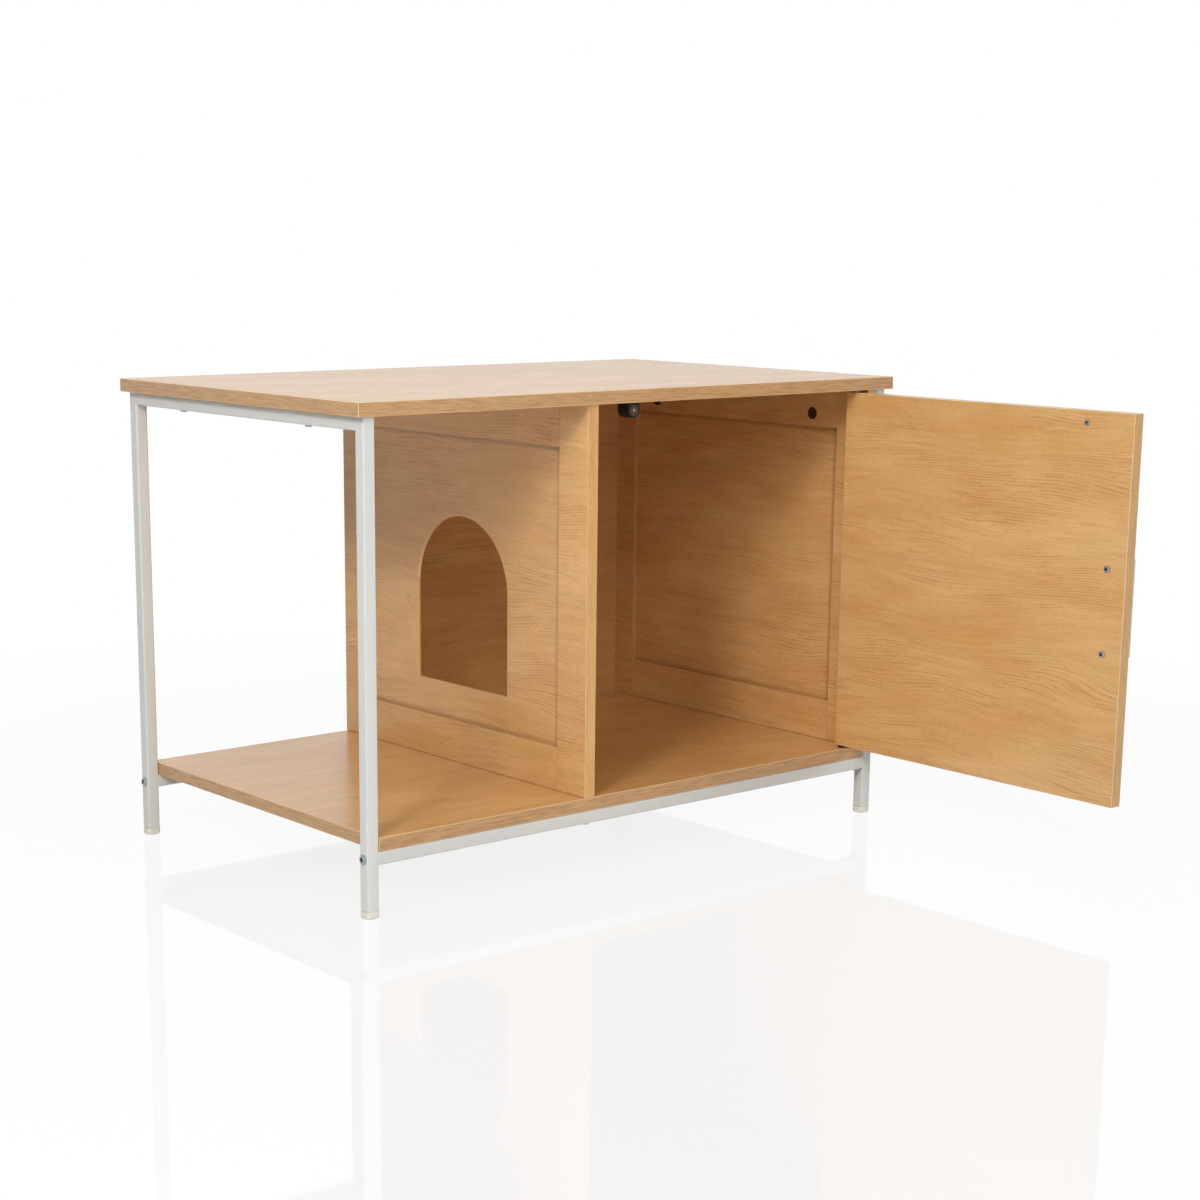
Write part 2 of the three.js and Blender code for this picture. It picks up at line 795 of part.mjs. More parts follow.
const plate = pivotPlate();
const pin = pivotPin();
const plateScrew = flatScrew(
  plateScrewHeadRadius,
  plateScrewHeadHeight,
  plateScrewRadius,
  plateScrewLength - pilotSpare,
);
const upperPlateZ = topUnderside - fit - plateThickness;
const lowerPlateZ = floorTop + fit;
const upperScrewZ = upperPlateZ + fit;
const lowerScrewZ = lowerPlateZ + plateThickness - fit;

place(fittings, "upper_pivot_plate", plate, darkBronze, [pivotX, pivotY, upperPlateZ]);
place(fittings, "lower_pivot_plate", plate, darkBronze, [pivotX, pivotY, lowerPlateZ]);
place(fittings, "upper_plate_screw", plateScrew, zincPlate, [plateScrewX, pivotY, upperScrewZ]);
place(
  fittings,
  "lower_plate_screw",
  plateScrew.rotate([180, 0, 0]),
  zincPlate,
  [plateScrewX, pivotY, lowerScrewZ],
);
place(door, "upper_pivot_pin", pin, zincPlate, [0, 0, doorTop]);
place(door, "lower_pivot_pin", pin.rotate([180, 0, 0]), zincPlate, [0, 0, doorBottom]);

// ---------------------------------------------------------------- magnetic catch

// A housing with a half-round underside and a screw tab behind it. The origin is at its
// front face, at the middle of its width and at the top.
function catchHousing() {
  const half = catchWidth / 2;
  const shape = new THREE.Shape();
  shape.moveTo(half, 0);
  shape.lineTo(-half, 0);
  shape.lineTo(-half, half - catchDrop);
  shape.absarc(0, half - catchDrop, half, Math.PI, 2 * Math.PI);
  shape.closePath();
  const options = { depth: catchLength, bevelEnabled: false, curveSegments: smallSegments };
  const body = new THREE.ExtrudeGeometry(shape, options);
  // The section was drawn in X and Y: lay it so that its length runs along +Y.
  body.rotateX(Math.PI / 2);
  body.translate(0, catchLength, 0);
  const tabEnd = catchLength + catchTabLength;
  const tabMiddle = catchLength + catchTabLength / 2;
  const pocketEnd = [0, magnetDepth + fit, magnetZ];
  const screwStart = [0, tabMiddle, -catchTabThickness - overcut];
  return solid(body)
    .add(block([-half, half], [catchLength - overcut, tabEnd], [-catchTabThickness, 0]))
    .subtract(rod([0, -overcut, magnetZ], pocketEnd, magnetRadius + fit, camSegments))
    .subtract(rod(screwStart, [0, tabMiddle, overcut], catchScrewRadius + fit));
}

// The magnet is a disc with a steel pole in its middle, which shows as a bright dot.
const magnetZ = catchWidth / 2 - catchDrop;

const magnetFace = rod([0, 0, 0], [0, magnetDepth, 0], magnetRadius, camSegments).subtract(
  rod([0, -overcut, 0], [0, magnetDepth / 2 + fit, 0], magnetPoleRadius + fit),
);
const magnetPole = rod([0, -magnetPoleProud, 0], [0, magnetDepth / 2, 0], magnetPoleRadius);
const catchScrew = panScrew(
  catchScrewHeadRadius,
  catchScrewHeadHeight,
  catchScrewRadius,
  catchScrewLength,
);
const catchScrewZ = catchTop - catchTabThickness;

place(fittings, "catch_housing", catchHousing(), blackPlastic, [catchX, catchFrontY, catchTop]);
place(fittings, "catch_magnet", magnetFace, darkMagnet, [catchX, catchFrontY, catchTop + magnetZ]);
place(fittings, "catch_pole", magnetPole, zincPlate, [catchX, catchFrontY, catchTop + magnetZ]);
place(fittings, "catch_screw", catchScrew, zincPlate, [catchX, catchScrewY, catchScrewZ]);

// ---------------------------------------------------------------- door

// In the door's own frame the pin is the origin, the shut door runs along -X, its outer face
// looks to -Y and its inner face to +Y.
const doorFaceY = boardThickness / 2;
const handleScrewZs = [doorMiddleZ - handleSpacing / 2, doorMiddleZ + handleSpacing / 2];
const doorPinHole = pinDepthInDoor + pilotSpare;
let doorBoard = block(
  [doorFreeEdge, doorPivotInset],
  [-doorFaceY, doorFaceY],
  [doorBottom, doorTop],
)
  .subtract(drill(0, 0, [doorTop - doorPinHole, doorTop + overcut], pinRadius))
  .subtract(drill(0, 0, [doorBottom - overcut, doorBottom + doorPinHole], pinRadius))
  .subtract(
    rod(
      [strikeX, doorFaceY - strikeLength - pilotSpare, strikeZ],
      [strikeX, doorFaceY + overcut, strikeZ],
      strikeRadius + fit,
    ),
  );
for (const z of handleScrewZs) {
  doorBoard = doorBoard.subtract(
    rod([handleX, -boardThickness, z], [handleX, boardThickness, z], handleScrewRadius + fit),
  );
}
placeDrawn(door, "door_board", doorBoard, oakDecor);

// A bar on two posts, with a threaded hole up each post from the door's side.
function barHandle() {
  const barFront = -doorFaceY - handleStandoff - handleThickness;
  const barBack = -doorFaceY - handleStandoff;
  const barMiddle = (barFront + barBack) / 2;
  const holeEnd = -doorFaceY - handleScrewBite - pilotSpare;
  let body = squareBar(1, handleCornerShare, handleLength)
    .scale([handleWidth, handleThickness, 1])
    .translate([0, barMiddle, -handleLength / 2]);
  for (const z of [-handleSpacing / 2, handleSpacing / 2]) {
    body = body
      .add(rod([0, barMiddle, z], [0, -doorFaceY - fit, z], handlePostRadius))
      .subtract(rod([0, holeEnd, z], [0, 0, z], handleScrewRadius + fit));
  }
  return body;
}

place(door, "door_handle", barHandle(), whitePowderCoat, [handleX, 0, doorMiddleZ]);
const handleScrew = panScrew(
  handleScrewHeadRadius,
  handleScrewHeadHeight,
  handleScrewRadius,
  boardThickness + handleScrewBite,
  true,
).rotate([90, 0, 0]);
const strikeScrew = panScrew(
  strikeHeadRadius,
  strikeHeadHeight,
  strikeRadius,
  strikeLength,
).rotate([90, 0, 0]);
place(door, "handle_lower_screw", handleScrew, zincPlate, [handleX, doorFaceY, handleScrewZs[0]]);
place(door, "handle_upper_screw", handleScrew, zincPlate, [handleX, doorFaceY, handleScrewZs[1]]);
place(door, "catch_strike_screw", strikeScrew, zincPlate, [strikeX, doorFaceY, strikeZ]);

// ---------------------------------------------------------------- the part's own frame

// The open door reaches far in front, so the box is worked out from the finished pieces.
cabinet.updateMatrixWorld(true);
const restBox = new THREE.Box3().setFromObject(cabinet, true);
const restCentre = restBox.getCenter(new THREE.Vector3());
const part = new THREE.Group();
part.add(cabinet);
cabinet.position.set(-restCentre.x, -restCentre.y, -restBox.min.z);

export default part;
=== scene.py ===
# %% [markdown]
# # A cabinet that hides a cat's litter tray
# The real one is flat-pack furniture: two welded end frames of square steel tube, chipboard
# boards with an oak decor foil, and a door that swings on two pins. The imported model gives
# every size and place. This script reads them from there and gives each piece the rounded
# edges, seams and finish that the eye expects.

# %% Load the frame
import json
import math

import bmesh
import bpy
from mathutils import Matrix, Vector


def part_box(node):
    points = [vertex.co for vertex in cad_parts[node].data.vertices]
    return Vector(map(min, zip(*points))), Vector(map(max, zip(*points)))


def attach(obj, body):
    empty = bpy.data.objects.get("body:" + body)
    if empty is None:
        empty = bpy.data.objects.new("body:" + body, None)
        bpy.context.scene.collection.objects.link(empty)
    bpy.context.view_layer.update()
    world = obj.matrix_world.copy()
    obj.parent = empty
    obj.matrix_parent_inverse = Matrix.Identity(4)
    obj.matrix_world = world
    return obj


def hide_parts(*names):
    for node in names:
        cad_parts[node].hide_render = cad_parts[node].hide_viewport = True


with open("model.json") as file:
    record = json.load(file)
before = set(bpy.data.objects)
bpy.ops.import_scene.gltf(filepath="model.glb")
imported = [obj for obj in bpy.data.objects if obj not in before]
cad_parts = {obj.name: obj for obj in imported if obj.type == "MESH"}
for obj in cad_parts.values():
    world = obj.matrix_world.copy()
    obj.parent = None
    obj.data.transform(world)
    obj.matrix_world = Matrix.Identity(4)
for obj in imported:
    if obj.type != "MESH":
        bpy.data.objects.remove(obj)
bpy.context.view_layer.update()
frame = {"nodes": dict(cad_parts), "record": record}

MM = 0.001  # everything in the scene is in metres
scene = bpy.context.scene

# %% [markdown]
# ## The camera
# The photograph is the only record of the real cabinet, so the camera comes first. Its place,
# tilt and focal length were fitted to the board edges and the legs. A photograph that was
# cropped has its lens axis off the middle of the picture, and a lens shift puts it back.

# %% Camera
PHOTO_SIZE = 1200  # the photograph is square; the next two values are in its pixels
FOCAL_LENGTH = 2325.9
LENS_AXIS = (546.6, 758.1)
CAMERA_PLACE = Vector((-1.7686, -1.9968, 0.7188))
HEADING = 0.69145  # radians from +Y towards +X
TILT = 0.22192  # radians below the horizon
ROLL = 0.00655

forward = Vector(
    (math.sin(HEADING) * math.cos(TILT), math.cos(HEADING) * math.cos(TILT), -math.sin(TILT))
)
level = Vector((math.cos(HEADING), -math.sin(HEADING), 0))
upward = level.cross(forward)
right = math.cos(ROLL) * level + math.sin(ROLL) * upward
upright = math.cos(ROLL) * upward - math.sin(ROLL) * level

lens = bpy.data.cameras.new("camera")
lens.sensor_width = 36
lens.lens = lens.sensor_width * FOCAL_LENGTH / PHOTO_SIZE
lens.shift_x = 0.5 - LENS_AXIS[0] / PHOTO_SIZE
lens.shift_y = LENS_AXIS[1] / PHOTO_SIZE - 0.5
camera = bpy.data.objects.new("camera", lens)
turn = Matrix((right, upright, -forward)).transposed().to_4x4()
camera.matrix_world = Matrix.Translation(CAMERA_PLACE) @ turn
scene.collection.objects.link(camera)
scene.camera = camera
print("lens, mm:", round(lens.lens, 1), "shift:", round(lens.shift_x, 4), round(lens.shift_y, 4))

# %% [markdown]
# ## Two helpers for materials
# A picture program shows colours as sRGB, but light adds up in linear values, so every hex
# colour goes through one function. The other helper adds a node, sets it and joins it up, so
# that a material reads from top to bottom like a recipe.

# %% Colour and node helpers
MIX_FACTOR, MIX_A, MIX_B, MIX_COLOUR = 0, 6, 7, 2  # sockets of a Mix node set to colour


def linear(hex_colour):
    """An sRGB colour such as #c79a66 as the linear values that a shader wants."""
    values = [int(hex_colour[start : start + 2], 16) / 255 for start in (1, 3, 5)]
    return [v / 12.92 if v <= 0.04045 else ((v + 0.055) / 1.055) ** 2.4 for v in values] + [1]


def add(tree, kind, inputs=None, **settings):
    """Adds one node, sets it, and fills each input with a value or joins a socket to it."""
    node = tree.nodes.new(kind)
    for name, value in settings.items():
        setattr(node, name, value)
    for name, value in (inputs or {}).items():
        if isinstance(value, bpy.types.NodeSocket):
            tree.links.new(value, node.inputs[name])
        else:
            node.inputs[name].default_value = value
    return node


def new_material(name, base, roughness, **principled):
    """A material with its Principled shader. Values that are the same all over go here."""
    material = bpy.data.materials.new(name)
    material.use_nodes = True
    shader = material.node_tree.nodes["Principled BSDF"]
    shader.inputs["Base Color"].default_value = linear(base)
    shader.inputs["Roughness"].default_value = roughness
    for socket, value in principled.items():
        shader.inputs[socket.replace("_", " ").title()].default_value = value
    return material, material.node_tree, shader


# %% [markdown]
# ## Oak decor foil
# The boards are chipboard wrapped in a printed foil: flat-sawn oak with long wandering growth
# lines, calm patches between them, brown smears and short dark pores along the grain. The
# print runs one way over a whole face, whatever the cabinet's own axes are, so each board
# carries its own grain coordinates (along, across, layer) in an attribute, and the foil reads
# those.
#
# The growth lines are the height lines of a slow, stretched noise: where its slope meets the
# straight spacing they close up into the pointed arches that flat-sawn boards show. Everything
# finer is laid along those lines and not along the board, because fibres follow the growth.

# %% Oak decor: the growth lines
LINE_SPACING = 3.6 * MM  # between two growth lines where they run straight
FLOW_LINES = 17  # how many growth lines the slow noise is high
RIPPLE_LINES = 0.9  # and how many the small waves push a line aside
SWELL_LINES = 2.2  # how many lines a pin knot pushes aside
LACQUER = 0.46  # how much of the foil's clear resin shines as a coat of its own
LACQUER_ROUGHNESS = 0.2
RESIN_IOR = 1.38  # low, so that the boards shine only where they are seen at a low angle
STREAK_CONTRAST = 0.55  # how strong each finer level of a streak's noise is
KNOT_SPACING = 150 * MM
KNOT_RADIUS = 2.2 * MM
KNOT_SWELL = 14 * MM  # how far round a pin knot the lines bend
BOARD_STREAKS = (
    # name, length of one streak and its width in mm, levels of finer detail; these follow
    # the board
    ("flow", 290, 110, 1),
    ("ripple", 70, 18, 1),
    ("calm", 190, 60, 2),
    ("blotch", 150, 55, 3),
    ("pale", 120, 38, 2),
    ("warm", 210, 34, 2),
    ("band stroke", 26, 1.5, 3),
)

oak, tree, shader = new_material(
    "oak_decor_foil", "#cb9d68", 0.34, coat_weight=LACQUER, coat_roughness=LACQUER_ROUGHNESS
)
for socket in ("IOR", "Coat IOR"):
    shader.inputs[socket].default_value = RESIN_IOR
grain = add(tree, "ShaderNodeAttribute", attribute_name="grain").outputs["Vector"]
trim = add(tree, "ShaderNodeAttribute", attribute_name="trim").outputs["Vector"]
trim = add(tree, "ShaderNodeSeparateXYZ", {"Vector": trim}).outputs
along, across, layer = add(tree, "ShaderNodeSeparateXYZ", {"Vector": grain}).outputs
streak = {}
for name, length, width, detail in BOARD_STREAKS:
    size = (1 / (length * MM), 1 / (width * MM), 1)
    place = add(tree, "ShaderNodeMapping", {"Vector": grain, "Scale": size}).outputs[0]
    noise = {"Vector": place, "Scale": 1, "Detail": detail, "Roughness": STREAK_CONTRAST}
    streak[name] = add(tree, "ShaderNodeTexNoise", noise).outputs["Fac"]

knots = add(tree, "ShaderNodeTexVoronoi", {"Vector": grain, "Scale": 1 / KNOT_SPACING})
to_knot = knots.outputs["Distance"]
swell = add(
    tree,
    "ShaderNodeMapRange",
    {"Value": to_knot, "From Min": KNOT_SWELL / KNOT_SPACING, "From Max": 0},
    interpolation_type="SMOOTHSTEP",
).outputs[0]
lines = 0
for value, count in (
    (across, 1 / LINE_SPACING),
    (streak["flow"], FLOW_LINES),
    (streak["ripple"], RIPPLE_LINES),
    (swell, SWELL_LINES),
):
    lines = add(
        tree, "ShaderNodeMath", {0: value, 1: count, 2: lines}, operation="MULTIPLY_ADD"
    ).outputs[0]
bent = add(tree, "ShaderNodeMath", {0: lines, 1: LINE_SPACING}, operation="MULTIPLY").outputs[0]
followed = add(tree, "ShaderNodeCombineXYZ", {"X": along, "Y": bent, "Z": layer}).outputs[0]
print("oak decor: growth lines every", LINE_SPACING / MM, "mm")

# %% Oak decor: the tones
# Late wood darkens slowly and stops short, so a line has one soft side and one sharp one. A
# real pore is 0.3 mm across. These are as fine as the render can show. The edge band is
# another print: plain fine stripes with short dark strokes.
LINE_STREAKS = (
    # as above, but these follow the growth lines
    ("broken", 45, 5, 2),
    ("fibre", 60, 1.7, 4),
    ("dash", 8, 0.9, 1),
    ("year", 170, 9, 2),
    ("smear", 70, 7, 3),
)
FOIL_ROUGHNESS = (0.27, 0.4)
PORE_DEPTH = 0.1 * MM
PORE_STRENGTH = 0.3

for name, length, width, detail in LINE_STREAKS:
    size = (1 / (length * MM), 1 / (width * MM), 1)
    place = add(tree, "ShaderNodeMapping", {"Vector": followed, "Scale": size}).outputs[0]
    noise = {"Vector": place, "Scale": 1, "Detail": detail, "Roughness": STREAK_CONTRAST}
    streak[name] = add(tree, "ShaderNodeTexNoise", noise).outputs["Fac"]
saw = add(tree, "ShaderNodeMath", {0: lines}, operation="FRACT").outputs[0]

# Painted shade on a sunk panel where its frame keeps the light off: beside the front stile,
# where the first value is -1, and less so along the two rails, where the second is -1 or 1.
sunk = add(tree, "ShaderNodeAttribute", attribute_name="sunk").outputs["Vector"]
sunk = add(tree, "ShaderNodeSeparateXYZ", {"Vector": sunk}).outputs
to_rail = add(tree, "ShaderNodeMath", {0: sunk["Y"]}, operation="ABSOLUTE").outputs[0]
mask = {"band": trim["Y"], "board tone": trim["Z"], "rounding": trim["X"]}
for name, value, start, end in (
    ("late wood", saw, 0.45, 0.93),
    ("early wood", saw, 1.0, 0.93),
    ("calm", streak["calm"], 0.40, 0.60),
    ("broken", streak["broken"], 0.36, 0.60),
    ("fibre", streak["fibre"], 0.42, 0.66),
    ("pore", streak["dash"], 0.56, 0.72),
    ("year", streak["year"], 0.42, 0.68),
    ("smear", streak["smear"], 0.55, 0.74),
    ("blotch", streak["blotch"], 0.34, 0.66),
    ("pale", streak["pale"], 0.50, 0.70),
    ("warm", streak["warm"], 0.46, 0.66),
    ("straw", streak["warm"], 0.50, 0.32),
    ("knot", to_knot, KNOT_RADIUS / KNOT_SPACING, 0.3 * KNOT_RADIUS / KNOT_SPACING),
    ("band stroke", streak["band stroke"], 0.38, 0.68),
    ("seam", trim["X"], 0.0, -1.0),
    ("stile shade", sunk["X"], -0.93, -0.985),
    ("rail shade", to_rail, 0.955, 0.99),
):
    mask[name] = add(
        tree,
        "ShaderNodeMapRange",
        {"Value": value, "From Min": start, "From Max": end},
        interpolation_type="SMOOTHSTEP",
    ).outputs[0]

colour = linear("#deb077")
for hex_colour, amount, *names in (
    # each tone is laid on by its amount, where all of its masks are strong
    ("#cb9555", 0.5, "blotch"),
    ("#ddb77f", 0.35, "pale"),
    ("#d59b5c", 0.2, "warm"),
    ("#cfa765", 0.25, "straw"),
    ("#c18f52", 0.25, "year"),
    ("#bd8a4d", 0.3, "smear"),
    ("#bf8f50", 0.25, "fibre"),
    ("#9a6a36", 0.48, "late wood", "early wood", "calm", "broken"),
    ("#8e6334", 0.27, "pore"),
    ("#5e4122", 0.7, "knot"),
    ("#bd9469", 0.75, "band", "board tone"),
    ("#8a683f", 0.55, "band", "board tone", "band stroke"),
    # pale wear on the rounded edges, with a painted highlight on top of it
    ("#e6c896", 0.75, "rounding"),
    ("#6b4522", 0.5, "seam"),
    # painted shade where the panel's frame keeps the light off
    ("#6b4522", 0.5, "stile shade"),
    ("#6b4522", 0.36, "rail shade"),
):
    for name in names:
        amount = add(
            tree, "ShaderNodeMath", {0: mask[name], 1: amount}, operation="MULTIPLY"
        ).outputs[0]
    colour = add(
        tree,
        "ShaderNodeMix",
        {MIX_FACTOR: amount, MIX_A: colour, MIX_B: linear(hex_colour)},
        data_type="RGBA",
    ).outputs[MIX_COLOUR]
gloss = {"Value": streak["fibre"], "To Min": FOIL_ROUGHNESS[0], "To Max": FOIL_ROUGHNESS[1]}
gloss = add(tree, "ShaderNodeMapRange", gloss)
relief = add(tree, "ShaderNodeMath", {0: mask["pore"], 1: streak["fibre"]}, operation="ADD")
bump = {"Height": relief.outputs[0], "Strength": PORE_STRENGTH, "Distance": PORE_DEPTH}
bump = add(tree, "ShaderNodeBump", bump, invert=True)
tree.links.new(colour, shader.inputs["Base Color"])
tree.links.new(gloss.outputs[0], shader.inputs["Roughness"])
tree.links.new(bump.outputs[0], shader.inputs["Normal"])
print("oak decor:", len(tree.nodes), "nodes")

# %% [markdown]
# ## Painted, plated and moulded finishes
# Powder coat is paint baked on as dust: it rounds every edge and dries with a faint orange
# peel. Zinc plate is a bright, slightly blue metal whose roughness is cloudy, and the bronze
# plate of the pivots is the same in a dark brown. Moulded polyethylene and nylon have a fine
# grain from the mould. The magnet is sintered ferrite, a dull and coarse ceramic. All of these
# are the same recipe at other sizes: a cloudy noise for colour and roughness, and a fine one
# for the bump, with sizes and depths in millimetres. Each also paints shade on the walls of a
# screw's recess.

# %% Other finishes
CLOUD_SIZE = 22 * MM  # between a cloudy finish's lighter and duller places
CLOUD_CONTRAST = 0.2  # how far the roughness goes either way
BUMP_STRENGTH = 0.5
# painted shade for the walls of a screw's recess
RECESS_SHADE = "#27353b"  # a screw's recess is too narrow for light to leave it again
METAL = {"metallic": 1.0}
FINISHES = {
    # slot: (material, base, deeper tone, roughness, bump size, bump depth, other values)
    "white_powder_coat": ("white_powder_coat", "#d1d1cd", "#cdcdc9", 0.42, 1.1, 0.02, {}),
    "ivory_plastic": ("ivory_polyethylene", "#e0dccf", "#d8d3c5", 0.5, 0.5, 0.015, {}),
    "zinc_plate": ("zinc_plate", "#b0b6b9", "#8a9398", 0.32, 0.7, 0.01, METAL),
    "dark_bronze": ("dark_bronze_plate", "#6e5f58", "#463c37", 0.5, 0.6, 0.01, METAL),
    "black_plastic": ("black_nylon", "#1a140f", "#0f0b08", 0.65, 0.4, 0.02, {}),
    "dark_magnet": ("sintered_ferrite", "#5a5240", "#3c3629", 0.62, 0.35, 0.03, {}),
}
finish = {"oak_decor": oak}
for slot, (name, base, deep, roughness, grit, depth, other) in FINISHES.items():
    finish[slot], tree, shader = new_material(name, base, roughness, **other)
    place = add(tree, "ShaderNodeTexCoord").outputs["Object"]
    cloud = {"Vector": place, "Scale": 1 / CLOUD_SIZE, "Detail": 4}
    cloud = add(tree, "ShaderNodeTexNoise", cloud).outputs["Fac"]
    peel = {"Vector": place, "Scale": 1 / (grit * MM), "Detail": 2}
    peel = add(tree, "ShaderNodeTexNoise", peel).outputs["Fac"]
    # painted shade on the recess walls that the fastener tree marks
    recess = add(tree, "ShaderNodeAttribute", attribute_name="recess").outputs["Fac"]
    colour = linear(base)
    for mask, hex_colour in ((cloud, deep), (recess, RECESS_SHADE)):
        tone = {MIX_FACTOR: mask, MIX_A: colour, MIX_B: linear(hex_colour)}
        colour = add(tree, "ShaderNodeMix", tone, data_type="RGBA").outputs[MIX_COLOUR]
    dull = add(
        tree,
        "ShaderNodeMapRange",
        {
            "Value": cloud,
            "To Min": roughness * (1 - CLOUD_CONTRAST),
            "To Max": roughness * (1 + CLOUD_CONTRAST),
        },
    )
    bump = {"Height": peel, "Strength": BUMP_STRENGTH, "Distance": depth * MM}
    bump = add(tree, "ShaderNodeBump", bump)
    tree.links.new(colour, shader.inputs["Base Color"])
    tree.links.new(dull.outputs[0], shader.inputs["Roughness"])
    tree.links.new(bump.outputs[0], shader.inputs["Normal"])
slot_of = {part["node"]: part["material_slot"] for part in frame["record"]["subparts"]}
print("finishes:", ", ".join(sorted(finish)))

# %% [markdown]
# ## From a modelled shape to a piece
# A piece is first a working object with live modifiers. Its shape is then worked out once as
# a plain mesh, and the working object is taken away. The piece rides on the body of the CAD
# node that it stands for, and takes that node's material.

# %% Helpers for pieces
body_of = {
    node: body for body, nodes in frame["record"]["behaviour"]["bodies"].items() for node in nodes
}


def work_on(mesh):
    """A working object for modifiers."""
    carrier = bpy.data.objects.new("work", mesh)
    scene.collection.objects.link(carrier)
    return carrier


def settled(carrier):
    """The working object's shape as a plain mesh. The object is taken away."""
    depsgraph = bpy.context.evaluated_depsgraph_get()
    mesh = bpy.data.meshes.new_from_object(carrier.evaluated_get(depsgraph))
    bpy.data.objects.remove(carrier)
    return mesh


def cut_out(carrier, *cutters):
    """Cuts bodies out of a working object."""
    for cutter in cutters:
        cut = carrier.modifiers.new("cut", "BOOLEAN")
        cut.object = cutter
        cut.operation = "DIFFERENCE"
        cut.solver = "EXACT"


def take_away(cutters):
    """Removes cutters that have done their work."""
    for cutter in cutters:
        bpy.data.objects.remove(cutter)


def make_piece(name, mesh, *nodes):
    """A finished piece that stands for CAD nodes of one body and one finish."""
    mesh.name = name
    mesh.materials.clear()
    mesh.materials.append(finish[slot_of[nodes[0]]])
    piece = bpy.data.objects.new(name, mesh)
    scene.collection.objects.link(piece)
    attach(piece, body_of[nodes[0]])
    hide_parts(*nodes)
    print(name, "stands for", len(nodes), "node(s) with", len(mesh.polygons), "faces")
    return piece


ROUNDED_FROM = math.radians(40)  # a sharper edge than this is rounded


def soften(carrier, width, segments=3):
    """Rounds the sharp edges and keeps the flat faces flat in the shading."""
    bevel = carrier.modifiers.new("rounding", "BEVEL")
    bevel.width = width
    bevel.segments = segments
    bevel.limit_method = "ANGLE"
    bevel.angle_limit = ROUNDED_FROM
    bevel.miter_outer = "MITER_ARC"
    carrier.modifiers.new("flat faces", "WEIGHTED_NORMAL").keep_sharp = True
    carrier.data.shade_smooth()


# %% [markdown]
# ## Boards
# A board is a block whose edges are only just rounded, because the edge band is scraped and
# buffed after gluing. That tiny round carries a pale line along each edge: paler wear of the
# band, strengthened by a painted highlight. Holes are cut with a boolean before the rounding,
# so that their rims are rounded too.

# %% Board helpers
X, Y, Z = 0, 1, 2
BAND_ROUND = 0.6 * MM
JOINT_ROUND = 0.35 * MM  # edges inside a panel's frame are crisper
GRAIN_LAYER = 0.37  # how far apart two boards are in the pattern
FLAT_ENOUGH = 0.999  # a face that leans more than this is part of a rounded edge


def block_mesh(low, high):
    """A plain block between two corners."""
    mesh = bpy.data.meshes.new("block")
    block = bmesh.new()
    size = Vector(high) - Vector(low)
    centre = (Vector(high) + Vector(low)) / 2
    placed = Matrix.Translation(centre) @ Matrix.Diagonal(size).to_4x4()
    bmesh.ops.create_cube(block, size=1, matrix=placed)
    block.to_mesh(mesh)
    block.free()
    return mesh


def lay_grain(mesh, low, high, grain_axis, number, tone, seams_behind):
    """Writes what the foil reads: the grain's coordinates, and which faces are trimmed edges.

    A rounded edge is worn pale and carries a painted highlight (1), or is one side of a dark
    seam (-1) if it lies behind the given Y.
    """
    size = [high[axis] - low[axis] for axis in range(3)]
    thin = size.index(min(size))
    across_face = 3 - thin - grain_axis
    grain = mesh.attributes.new("grain", "FLOAT_VECTOR", "CORNER")
    trim = mesh.attributes.new("trim", "FLOAT_VECTOR", "CORNER")
    for polygon in mesh.polygons:
        lean = [abs(value) for value in polygon.normal]
        facing = lean.index(max(lean))
        along, across = grain_axis, across_face
        if facing != thin:
            along, across = 3 - facing - thin, thin
        layer = number * GRAIN_LAYER + facing * GRAIN_LAYER / 3
        rounded = float(max(lean) < FLAT_ENOUGH)
        joint = lean[Y] > max(lean) / 2 or polygon.center[Z] < low[Z] + MM
        if joint and polygon.center[Y] > seams_behind:
            rounded = -rounded
        banded = float(facing != thin and not rounded)
        for corner in polygon.loop_indices:
            place = mesh.vertices[mesh.loops[corner].vertex_index].co
            grain.data[corner].vector = (place[along], place[across] + number, layer)
            trim.data[corner].vector = (rounded, banded, tone)


def board(
    name, box, grain_axis, number, cutters=(), rounding=BAND_ROUND, tone=0.0, seams_behind=math.inf
):
    """A decor board between two corners, standing for the CAD node of the same name."""
    carrier = work_on(block_mesh(*box))
    cut_out(carrier, *cutters)
    soften(carrier, rounding)
    mesh = settled(carrier)
    take_away(cutters)
    lay_grain(mesh, *box, grain_axis, number, tone, seams_behind)
    return make_piece("decor_" + name, mesh, name)


# %% [markdown]
# ## Whole boards
# The top, the floor, the back of the cell and the door are single boards. Their grain runs
# along their length, and on the door across its width.

# %% Whole boards
WHOLE_BOARDS = {
    # node: (axis that the grain runs along, how much the edge band's own print shows)
    "top_board": (X, 1.0),
    "bottom_board": (X, 1.0),
    "back_panel": (X, 0.3),
    "door_board": (Y, 0.5),
}
for number, (node, (grain_axis, tone)) in enumerate(WHOLE_BOARDS.items()):
    board(node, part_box(node), grain_axis, number, tone=tone)

# %% [markdown]
# ## The framed panels
# The divider and the right side are frame-and-panel work: two upright stiles, two cross rails
# between them and a thin panel in a groove. In the CAD model the rails' stubs reach into the
# stiles, but only the part between the stiles is seen, so the visible rail ends where the
# stile begins. The divider's panel has the doorway: a straight-sided opening with a half-round
# head, cut with one prism.

# %% Cutters
CAM_SEGMENTS = 48
ARCH_SEGMENTS = 64
CAM_CLEARANCE = 0.3 * MM


